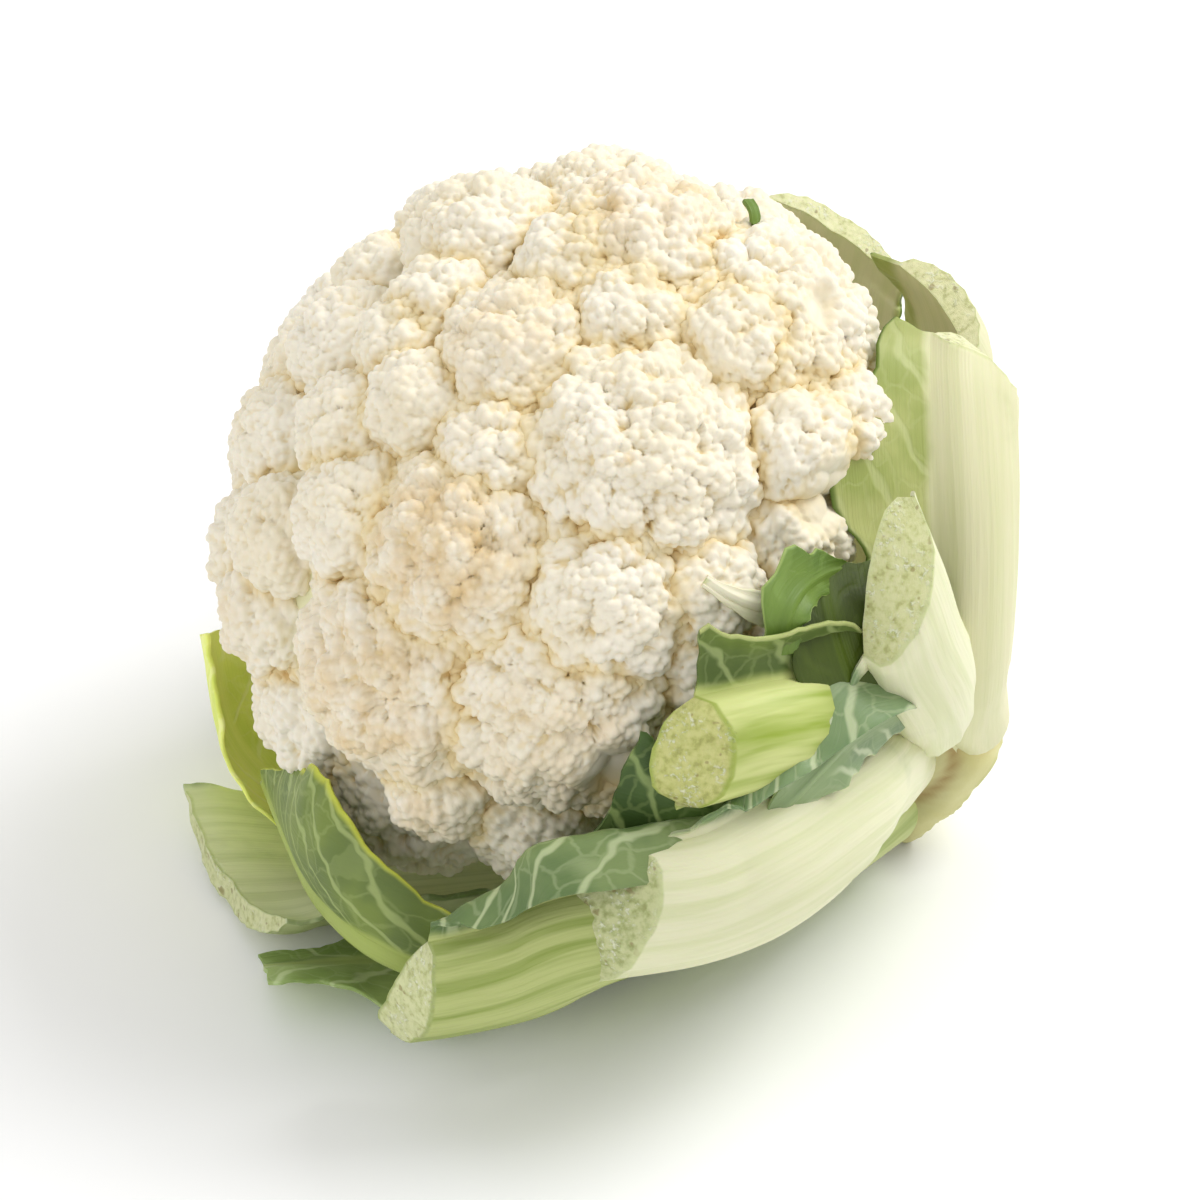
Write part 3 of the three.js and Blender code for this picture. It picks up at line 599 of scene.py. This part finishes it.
def leaf(name, material, spine, rib, thick, plus, minus, cup, curl, roll=0, slant=0, bevel=0,
         fold=(0, 1), wave=1.5, teeth=0.08, frill=1.0, notch=0.6, ragged=0.8, seed=1,
         stations=LEAF_STATIONS, part=None):
    """A leaf along its spine. rib and thick are the stalk's width and thickness, plus and minus
    the blades' widths towards greater and smaller azimuths, all in millimetres from base to end.
    cup and curl bend the stalk and the blades, in degrees, and fold says over which share of the
    blade. slant and bevel turn the cut, wave, teeth, frill, notch and ragged roughen the edges."""
    centre, ahead, length = spine_curve(spine)
    share = np.linspace(0, 1, len(centre))[:, None]
    outward = centre - LEAF_FOCUS
    outward -= ahead * np.sum(outward * ahead, axis=1)[:, None]
    outward /= np.linalg.norm(outward, axis=1)[:, None]
    turn = np.radians(np.interp(share, [0, 1], [0, roll]))
    outward = outward * np.cos(turn) + np.cross(ahead, outward) * np.sin(turn)
    sideways = np.cross(ahead, outward)
    rib_wide = spread_out(rib, share)
    rib_thick = spread_out(thick, share)
    tooth = 1 - teeth * np.cos(math.pi * stations * share)
    along = share * length
    halves, blade_wide = [], []
    for edge_side, widths, bend in ((1, plus, curl[0]), (-1, minus, curl[1])):
        blade = np.maximum(LEAST_BLADE, spread_out(widths, share) * tooth)
        jag = notch * ripple(along / 1.4, seed + edge_side) + frill * 0.8 * ripple(along / 6, seed * 2)
        blade = np.maximum(LEAST_BLADE, blade + jag * np.clip(blade / 8, 0, 1))
        rib_columns = np.linspace(0, 1, max(6, round(max(rib) / 2 / RIB_STEP)) + 1)[1:]
        count = max(2, round(max(widths) / BLADE_STEP))
        blade_columns = 1 + np.linspace(0, 1, count + 1)[1:]
        rim = 2 - EDGE_ROUND / max(3, max(widths))
        columns = np.concatenate([rib_columns, blade_columns[:-1], [rim, 2]])[None]
        blade_wide.append(blade)
        halves.append(half_section(edge_side, rib_wide, rib_thick, blade, columns, cup, bend, *fold))
    middle = [np.zeros_like(share)] * 3 + [rib_thick - SKIN, np.zeros_like(share), np.zeros_like(share)]
    right, left = halves
    across, out, bend, swell, distance, on_blade = [
        np.hstack([a[:, ::-1], m, b]) for a, m, b in zip(left, middle, right)
    ]
    edge_side = np.sign(distance) + (distance == 0)
    # waves of the blades, ridges of the stalk and the ragged cut
    ample = np.where(edge_side > 0, blade_wide[0], blade_wide[1]) / FOLD_WIDTH
    waves = np.sin(WAVE_TURNS * share * 2 * math.pi + 2 * edge_side)
    lift_by = wave * on_blade * np.minimum(1, ample) * waves
    lift_by += frill * on_blade**2 * ripple(along / 5 + 1.3 * edge_side, seed)
    ridge = 0.25 * np.sin(distance * 1.5 + seed) * (on_blade == 0) * np.clip(share * 4, 0, 1)
    run_on = slant * np.clip(2 * across / rib_wide, -1.6, 1.6) * share**3
    run_on += ragged * ripple(distance / 4, seed + 5) * share**12
    face = outward[:, None] * np.cos(bend)[..., None]
    face -= sideways[:, None] * (edge_side * np.sin(bend))[..., None]
    line = centre[:, None] + sideways[:, None] * across[..., None] + outward[:, None] * out[..., None]
    line += ahead[:, None] * run_on[..., None] + face * lift_by[..., None]
    half = BLADE_THICKNESS / 2 * np.where(on_blade > 0.999, 0.35, 1)
    through = ahead[:, None] * (bevel / 2 * share**3 * swell / (rib_thick - SKIN + 1e-6))[..., None]
    outer = line + face * (half + swell * RIB_OUTSIDE + ridge)[..., None] - through
    inner = line - face * (half + swell * (1 - RIB_OUTSIDE))[..., None] + through
    faces = np.stack([inner, outer])
    # the slab, rolled out flat, whose flat places say which point each one is
    rows, columns = across.shape
    bpy.ops.object.select_all(action="DESELECT")
    bpy.ops.mesh.primitive_grid_add(x_subdivisions=rows - 1, y_subdivisions=columns - 1, size=2)
    piece = bpy.context.object
    piece.name = part or name.removeprefix("leaf_") + "_leaf"
    bpy.ops.object.mode_set(mode="EDIT")
    bpy.ops.mesh.select_all(action="SELECT")
    bpy.ops.mesh.extrude_region_move(TRANSFORM_OT_translate={"value": (0, 0, 1)})
    bpy.ops.mesh.select_all(action="SELECT")
    bpy.ops.mesh.normals_make_consistent(inside=False)
    bpy.ops.object.mode_set(mode="OBJECT")
    flat = np.zeros(len(piece.data.vertices) * 3)
    piece.data.vertices.foreach_get("co", flat)
    flat = flat.reshape(-1, 3)
    row = np.rint((flat[:, 0] + 1) / 2 * (rows - 1)).astype(int)
    column = np.rint((flat[:, 1] + 1) / 2 * (columns - 1)).astype(int)
    layer = (flat[:, 2] > 0.5).astype(int)
    points = stand(faces[layer, row, column])
    points[:, 2] = np.maximum(points[:, 2], np.array(TABLE_LAYERS)[layer] * MM)
    rim = np.maximum(0, on_blade)
    shape(
        piece,
        points,
        along=(along * np.ones_like(across))[row, column],
        across=distance[row, column],
        blade=np.maximum(0, (np.abs(distance) - rib_wide / 2))[row, column],
        rim=rim[row, column],
        cut=((row == rows - 1) & (on_blade[row, column] < 0.05)).astype(float),
        inner=1.0 - layer,
    )
    bpy.ops.object.select_all(action="DESELECT")
    piece.select_set(True)
    bpy.context.view_layer.objects.active = piece
    bpy.ops.object.shade_smooth_by_angle(angle=SMOOTH_BELOW)
    finish_piece(piece, name, material)
    return piece


def leaf_material(name, stalk_pale, stalk_green, blade, blade_dark, vein,
                  cut_pale="#d5d8a6", cut_green="#bcc283", cut_dark="#8d8650",
                  stripes=0.5, vein_strength=0.7, net_strength=0.3, rim_colour=None,
                  vein_space=13.0, band_width=1.0, vein_width=1.0):
    """A fresh leaf: a waxy stalk with fibres along it, a blade with paler veins and a bloom that
    keeps it matt, and a wet cut end with dried white crumbs. Light goes a little way in."""
    material = bpy.data.materials.new(name)
    material.use_nodes = True
    shader = material.node_tree.nodes["Principled BSDF"]

    def read(attribute):
        return add(material, "Attribute", attribute_name=attribute).outputs["Fac"]

    def blend_in(share, below, above):
        colours = {6: below, 7: above}
        colours = {k: linear(c) if isinstance(c, str) else c for k, c in colours.items()}
        return add(material, "Mix", {0: share} | colours, data_type="RGBA").outputs[2]

    def math_of(kind, a, b=0.0):
        return add(material, "Math", {0: a, 1: b}, operation=kind).outputs[0]

    def span(value, low, high):
        values = {"Value": value, "From Min": low, "From Max": high}
        return add(material, "MapRange", values, interpolation_type="SMOOTHSTEP").outputs[0]

    along, across, inner = read("along"), read("across"), read("inner")
    where = add(material, "TexCoord").outputs["Object"]
    flat = add(material, "CombineXYZ", {"X": across, "Y": along, "Z": inner}).outputs[0]
    fibre_place = add(
        material, "VectorMath", {0: flat, 1: (1 / band_width, 0.035, 40.0)}, operation="MULTIPLY"
    ).outputs[0]
    fibre = add(material, "TexNoise", {"Vector": fibre_place, "Scale": 0.32, "Detail": 3.0}).outputs["Fac"]
    fine = add(material, "TexNoise", {"Vector": fibre_place, "Scale": 1.6, "Detail": 2.0}).outputs["Fac"]
    cloud = add(material, "TexNoise", {"Vector": where, "Scale": 60.0, "Detail": 3.0}).outputs["Fac"]
    band = math_of("MULTIPLY", span(fibre, 0.42, 0.62), stripes)
    band = math_of("ADD", band, math_of("MULTIPLY", span(fine, 0.45, 0.7), stripes * 0.3))
    stalk = blend_in(band, stalk_pale, stalk_green)
    # side veins leave the stalk towards the tip, and finer ones net the rest
    drift = add(material, "TexNoise", {"Vector": flat, "Scale": 0.11, "Detail": 2.0}).outputs["Fac"]
    drift = math_of("MULTIPLY", math_of("SUBTRACT", drift, 0.5), 12.0)
    run = math_of("SUBTRACT", along, math_of("MULTIPLY", math_of("ABSOLUTE", across), 1.0))
    run = math_of("DIVIDE", math_of("ADD", run, drift), vein_space)
    side_vein = math_of("ABSOLUTE", math_of("SUBTRACT", math_of("FRACT", run), 0.5))
    side_vein = math_of("SUBTRACT", 1.0, span(side_vein, 0.03, 0.13 * vein_width))
    warp = add(material, "TexNoise", {"Vector": flat, "Scale": 0.3, "Detail": 2.0}).outputs["Color"]
    warped = add(material, "VectorMath", {0: warp, 1: (3.0, 3.0, 0.0)}, operation="MULTIPLY").outputs[0]
    warped = add(material, "VectorMath", {0: flat, 1: warped}, operation="ADD").outputs[0]
    cells = add(material, "TexVoronoi", {"Vector": warped, "Scale": 0.16}, feature="DISTANCE_TO_EDGE")
    net = math_of("SUBTRACT", 1.0, span(cells.outputs["Distance"], 0.01, 0.07))
    veins = math_of("MAXIMUM", side_vein, math_of("MULTIPLY", net, net_strength))
    leafy = blend_in(span(cloud, 0.35, 0.65), blade, blade_dark)
    leafy = blend_in(math_of("MULTIPLY", veins, vein_strength), leafy, vein)
    if rim_colour:
        leafy = blend_in(span(read("rim"), 0.93, 1.0), leafy, rim_colour)
    wander = math_of("MULTIPLY", math_of("SUBTRACT", cloud, 0.5), 4.0)
    on_blade = span(math_of("ADD", read("blade"), wander), 0.3, 3.0)
    skin = blend_in(on_blade, stalk, leafy)
    # the cut end: wet flesh with dried white crumbs, brown specks and a thin green rind
    bruise = add(material, "TexNoise", {"Vector": where, "Scale": 650.0, "Detail": 5.0}).outputs["Fac"]
    crumb = add(material, "TexNoise", {"Vector": where, "Scale": 1100.0, "Detail": 3.0}).outputs["Color"]
    crumb = add(material, "SeparateColor", {0: crumb}).outputs[1]
    patch = add(material, "TexNoise", {"Vector": where, "Scale": 190.0, "Detail": 2.0}).outputs["Fac"]
    dried = math_of("MULTIPLY", span(crumb, 0.5, 0.68), span(patch, 0.46, 0.62))
    speck = add(material, "TexNoise", {"Vector": where, "Scale": 420.0, "Detail": 1.0}).outputs["Fac"]
    flesh = blend_in(span(bruise, 0.35, 0.7), cut_pale, cut_green)
    flesh = blend_in(math_of("MULTIPLY", span(bruise, 0.55, 0.7), 0.35), flesh, cut_dark)
    flesh = blend_in(math_of("MULTIPLY", dried, 0.75), flesh, "#e6e9cf")
    flesh = blend_in(math_of("MULTIPLY", span(speck, 0.68, 0.74), 0.6), flesh, "#8a7846")
    rind = math_of("MINIMUM", inner, math_of("SUBTRACT", 1.0, inner))
    flesh = blend_in(math_of("MULTIPLY", span(rind, 0.09, 0.01), 0.7), flesh, stalk_green)
    colour = blend_in(span(read("cut"), 0.3, 0.9), skin, flesh)
    height = math_of("ADD", math_of("MULTIPLY", math_of("MULTIPLY", veins, on_blade), 0.6), fine)
    height = math_of("ADD", height, math_of("MULTIPLY", math_of("MULTIPLY", dried, read("cut")), 1.6))
    bump = add(material, "Bump", {"Height": height, "Strength": 0.5, "Distance": 0.35 * MM})
    material.node_tree.links.new(colour, shader.inputs["Base Color"])
    material.node_tree.links.new(bump.outputs[0], shader.inputs["Normal"])
    shader.inputs["Roughness"].default_value = 0.5
    shader.inputs["Specular IOR Level"].default_value = 0.4
    shader.inputs["Subsurface Weight"].default_value = 0.15
    shader.inputs["Subsurface Radius"].default_value = (0.6, 1.0, 0.3)
    shader.inputs["Subsurface Scale"].default_value = 1.2 * MM
    return material


pale_stalk = leaf_material("leaf stalk, pale", "#e0dfbb", "#cbd19c", "#7f9668", "#5f7c4e", "#c6d0a6",
                           cut_pale="#c3c793", cut_green="#9da768", stripes=0.5)
side_stalk = leaf_material("leaf stalk, pale yellow", "#d8d5ac", "#c9cc96", "#b4b973", "#97a255", "#c9ce96",
                           cut_pale="#e4e3b6", cut_green="#cfd197", stripes=0.4, vein_strength=0.4,
                           rim_colour="#5d7424")
green_stalk = leaf_material("leaf stalk, striped green", "#b4bd76", "#8c9c48", "#7d9058", "#5f7744",
                            "#bfca9b", stripes=0.8)
flat_stalk = leaf_material("leaf stalk, broad", "#d3d9aa", "#b2bd84", "#8fa066", "#6f8348",
                           "#c2cb9b", stripes=0.4)
inner_stalk = leaf_material("inner leaf stalk", "#ccd388", "#95a93c", "#6f823f", "#526628", "#a3b273",
                            cut_pale="#cbcb84", cut_green="#b3b765", stripes=0.9, rim_colour="#b5bd78",
                            band_width=2.2)
cut_stalk = leaf_material("leaf stalk, thick cut", "#e0dfbb", "#cbd19c", "#7f9668", "#5f7c4e", "#c6d0a6",
                          cut_pale="#d5d6a2", cut_green="#c1c584", stripes=0.5)
flap_blade = leaf_material("leaf blade, blue green", "#8fa373", "#7d9467", "#8fa373", "#72895f", "#c6cfaa",
                           rim_colour="#bcc890", vein_space=9.0, vein_width=1.6, net_strength=0.15)
curled_blade = leaf_material("leaf blade, curled green", "#6c8636", "#5a752a", "#6c8636", "#547026",
                             "#7f9a4a", rim_colour="#9db266", vein_strength=0.35)
# painted shade: these near black greens stand for the deep shade inside the plant, darker than the blade's
# own green
painted_shade_blade = leaf_material("leaf blade, deep in the plant, painted shade", "#4a5c0c", "#3d4d06", "#46570a",
                             "#364404", "#53641a", vein_strength=0.3, net_strength=0.1)
dark_blade = leaf_material("leaf blade, dark", "#8fa055", "#7b8f45", "#4f6a2c", "#3a5220", "#9db06c")
mid_blade = leaf_material("leaf blade, green", "#b4c37a", "#a2b466", "#a6ba74", "#88a058", "#c6d49e")
veined_blade = leaf_material("leaf blade, veined", "#a5b45c", "#8a9c48", "#76883a", "#637636", "#a9b873",
                             rim_colour="#c9d04e", vein_space=9.0)
young_blade = leaf_material("leaf blade, young", "#eef584", "#dcea68", "#f0f880", "#dbe866", "#f4f9a4")

leaf("leaf_front", pale_stalk,
     [[-24, 20, -93], [-17, 42, -77], [-15, 62, -63], [-18, 78, -54], [-26, 91, -42],
      [-33, 96, -32], [-42, 100, -16]],
     rib=[14, 25, 33, 35, 34], thick=[10, 13, 12, 12], plus=[0, 0, 0, 1, 14, 30, 33, 28, 8, 3, 1],
     minus=[0, 0], cup=80, curl=[150, 0], slant=-12, bevel=18, fold=(0.35, 0.7), seed=1)
leaf("leaf_right", side_stalk,
     [[20, 25, -100], [17, 46, -80], [22, 61, -67], [29, 72, -56], [37, 81, -46],
      [46, 87, -39], [51, 89.5, -37]],
     rib=[15, 24, 26, 26], thick=[10, 13, 11, 9], plus=[0, 0], minus=[0, 2, 8, 18, 22, 8],
     cup=80, curl=[0, 10], slant=-3, bevel=8, seed=2)
leaf("leaf_low", green_stalk,
     [[-50, 25, -97], [-42, 56, -70], [-40, 80, -47], [-43, 93, -29], [-47, 100, -19],
      [-53, 106, -11], [-58, 110, -4], [-61, 112, 0]],
     rib=[15, 26, 30, 28], thick=[10, 12, 10, 9], plus=[0, 0, 4, 26, 30, 24, 4],
     minus=[0, 0], cup=60, curl=[150, 0], slant=-9, bevel=9, fold=(0.35, 0.7), wave=2, seed=3)
leaf("leaf_inner_right", cut_stalk,
     [[14, 23, -88], [5, 46, -78], [6, 62, -66], [7, 74, -55], [9, 84, -42], [12, 89, -32],
      [14, 90, -27]],
     rib=[12, 18, 24, 22], thick=[8, 9, 10, 10], plus=[0, 0], minus=[0, 0, 2, 10, 16, 12],
     cup=50, curl=[0, 30], roll=-10, slant=12, bevel=14, teeth=0.1, seed=4)
leaf("leaf_inner_front", inner_stalk,
     [[-14, 22, -80], [-12, 44, -62], [-9, 66, -46], [-8, 82, -32], [-12, 88, -20],
      [-18, 90, -9]],
     rib=[12, 18, 22, 23], thick=[8, 9, 11], plus=[0, 2, 12, 14], minus=[0, 0],
     cup=60, curl=[80, 0], slant=-3, bevel=13, wave=1, seed=5)
leaf("leaf_under_front", dark_blade,
     [[-34, 23, -86], [-34, 56, -62], [-34, 80, -42], [-35, 88, -24], [-38, 88, -9]],
     rib=[12, 8, 4], thick=[6, 3, 1.2], plus=[0, 2, 12, 22, 24], minus=[0, 6, 24, 34, 28],
     cup=20, curl=[0, 0], wave=2, teeth=0.1, seed=6)
leaf("leaf_left_front", veined_blade,
     [[-70, 25, -99], [-70, 60, -70], [-69, 86, -42], [-69, 97, -18], [-72, 99, -3],
      [-84, 94, 4], [-98, 89, 7], [-112, 87, 11]],
     rib=[13, 12, 7, 3], thick=[9, 6, 4, 2], plus=[0, 0, 2, 3, 4, 6, 11, 24, 30, 20, 4],
     minus=[0, 3, 3, 3, 1], cup=20, curl=[-60, 0], wave=2, teeth=0.1, stations=12, seed=7)
leaf("leaf_left_flat", flat_stalk,
     [[-92, 25, -98], [-97, 54, -66], [-103, 86, -26], [-105, 101, -4], [-105, 108, 8]],
     rib=[15, 30, 46, 58], thick=[10, 11, 8, 6], plus=[0, 2, 4, 2], minus=[0, 2, 4, 2],
     cup=70, curl=[0, 0], slant=-6, wave=0, teeth=0, seed=8)
leaf("leaf_left_low", mid_blade,
     [[-81, 23, -88], [-85, 58, -65], [-88, 84, -39], [-90, 100, -17], [-93, 113, 2]],
     rib=[10, 8, 5, 3], thick=[7, 4, 2, 1.2], plus=[0, 6, 22, 26, 14],
     minus=[0, 6, 14, 14, 8], cup=10, curl=[30, 10], wave=3, teeth=0.1, seed=9)
leaf("leaf_left_bright", young_blade,
     [[-126, 23, -86], [-122, 60, -62], [-119, 89, -36], [-121, 98, -9], [-127, 98, 12],
      [-137, 90, 27]],
     rib=[12, 10, 6, 3], thick=[7, 4, 2, 1.2], plus=[0, 16, 24, 22, 10],
     minus=[0, 16, 22, 20, 8], cup=30, curl=[-20, -20], wave=2, teeth=0.1, seed=10)
leaf("leaf_back_low", green_stalk,
     [[-150, 25, -98], [-151, 62, -68], [-152, 88, -43], [-152, 102, -20], [-152, 107, 2]],
     rib=[15, 26, 30, 28], thick=[10, 11, 9, 7], plus=[0, 10, 16, 8], minus=[0, 10, 16, 8],
     cup=50, curl=[20, 20], slant=4, wave=2, seed=11)
leaf("leaf_back", pale_stalk,
     [[172, 25, -100], [168, 60, -72], [165, 86, -46], [164, 98, -20], [163, 98, 4]],
     rib=[15, 24, 28, 26], thick=[10, 11, 9, 7], plus=[0, 10, 16, 6], minus=[0, 10, 16, 6],
     cup=60, curl=[20, 20], slant=-4, wave=2, seed=12)
leaf("leaf_back_high", side_stalk,
     [[128, 25, -99], [125, 56, -75], [119, 77, -55], [112, 87, -43], [107, 90, -37]],
     rib=[15, 26, 34, 34], thick=[10, 10, 7, 5], plus=[0, 2, 4, 2], minus=[0, 2, 4, 2],
     cup=60, curl=[20, 20], slant=4, wave=2, seed=13)
leaf("leaf_back_side", side_stalk,
     [[78, 25, -98], [80, 52, -77], [80, 68, -63], [79, 78, -53], [76, 83, -43]],
     rib=[15, 22, 28, 28], thick=[10, 10, 8, 6], plus=[0, 3, 7, 6], minus=[0, 6, 12, 8],
     cup=60, curl=[30, 20], slant=3, wave=2, seed=14)

# The torn blades between the front leaves: the flap that folds out over the front stalk, the curled piece
# that stands against the curd, and the blade behind them, painted near black green as painted shade deep in
# the plant.
leaf("leaf_front", flap_blade,
     [[-20, 90, -32], [-15, 90, -33], [-10, 90, -34], [-6, 87, -37], [-2, 82, -43], [2, 77, -50]],
     rib=[2, 2, 2], thick=[1.6, 1.5, 1.4], plus=[2, 5, 6, 6.5, 6, 4], minus=[1, 4.5, 6, 6.5, 5.5, 3],
     cup=0, curl=[10, -25], wave=0.8, teeth=0.08, frill=0.7, seed=21, part="folded_flap")
leaf("leaf_inner_front", curled_blade,
     [[-1, 84, -16], [3, 86, -12], [7, 84, -13], [11, 80, -18], [14, 78, -23]],
     rib=[1.5, 1.5, 1.2], thick=[1.5, 1.4, 1.3], plus=[2, 3, 3, 3, 2], minus=[1, 5, 8, 5, 1],
     cup=0, curl=[40, 10], wave=1, teeth=0.15, frill=0.8, seed=22, part="curled_torn_blade")
# painted shade: a real blade behind the others, painted near black to stand for the shade it lies in
leaf("leaf_inner_right", painted_shade_blade,
     [[-4, 78, -48], [-2, 83, -38], [2, 84, -28], [7, 82, -21], [13, 78, -17]],
     rib=[2, 2, 2], thick=[2, 1.8, 1.6], plus=[6, 8, 11, 13, 13], minus=[6, 8, 8.5, 9, 8],
     cup=0, curl=[20, 0], wave=0.8, teeth=0.08, seed=23, part="painted_shade_torn_blade")

# Small leaves that stayed between the florets: a pale bract with a green tip, and a wisp.
bract_skin = leaf_material("bract, pale", "#f0ead0", "#e6e4b8", "#efe9cc", "#e3e0b0", "#f3eeda",
                           rim_colour="#d9dba0", vein_strength=0.2)
leaf("curd", bract_skin,
     [[6, 75, -16], [3, 80, -9], [2, 80, -2], [2, 79, 4]],
     rib=[3, 2, 1], thick=[3, 2.2, 1.2], plus=[3, 2.5, 1.5, 0.5], minus=[4, 3, 1.5, 0.5],
     cup=10, curl=[0, 0], wave=0.3, teeth=0.05, frill=0.3, seed=31, part="bract")
leaf("curd", curled_blade,
     [[66, 80, 15], [64, 80, 14], [63, 79, 13], [63, 77, 12]],
     rib=[0.8, 0.8, 0.8], thick=[1.3, 1.3, 1.2], plus=[0.8, 0.8], minus=[0.8, 0.8],
     cup=0, curl=[30, 30], wave=0.3, teeth=0.1, frill=0.3, seed=32, part="wisp")

# The table and the light: a white sweep under broad soft lamps, with the light from the
# upper right a little stronger.
bpy.ops.object.select_all(action="DESELECT")
bpy.ops.mesh.primitive_plane_add(size=8)
floor = bpy.context.object
floor.name = "floor"
paper = bpy.data.materials.new("paper sweep, white")
paper.use_nodes = True
paper.node_tree.nodes["Principled BSDF"].inputs["Base Color"].default_value = linear("#fbfbfb")
paper.node_tree.nodes["Principled BSDF"].inputs["Roughness"].default_value = 0.9
floor.data.materials.append(paper)
world = bpy.data.worlds.new("studio")
bpy.context.scene.world = world
world.use_nodes = True
world.node_tree.nodes["Background"].inputs["Color"].default_value = linear("#ffffff")
world.node_tree.nodes["Background"].inputs["Strength"].default_value = 0.75


def lamp(name, place, size, power, target=HEAD_CENTRE):
    """A broad soft lamp that shines at the head. Sizes are in metres and watts."""
    data = bpy.data.lights.new(name, "AREA")
    data.size = size
    data.energy = power
    light = bpy.data.objects.new(name, data)
    light.location = place
    light.rotation_euler = (Vector(place) - target).to_track_quat("Z", "Y").to_euler()
    bpy.context.scene.collection.objects.link(light)


lamp("key", (0.9, 0.3, 1.2), 0.8, 14)
lamp("fill", (-1.0, -0.8, 0.9), 1.0, 3.4)
bpy.context.scene.view_settings.view_transform = "Standard"
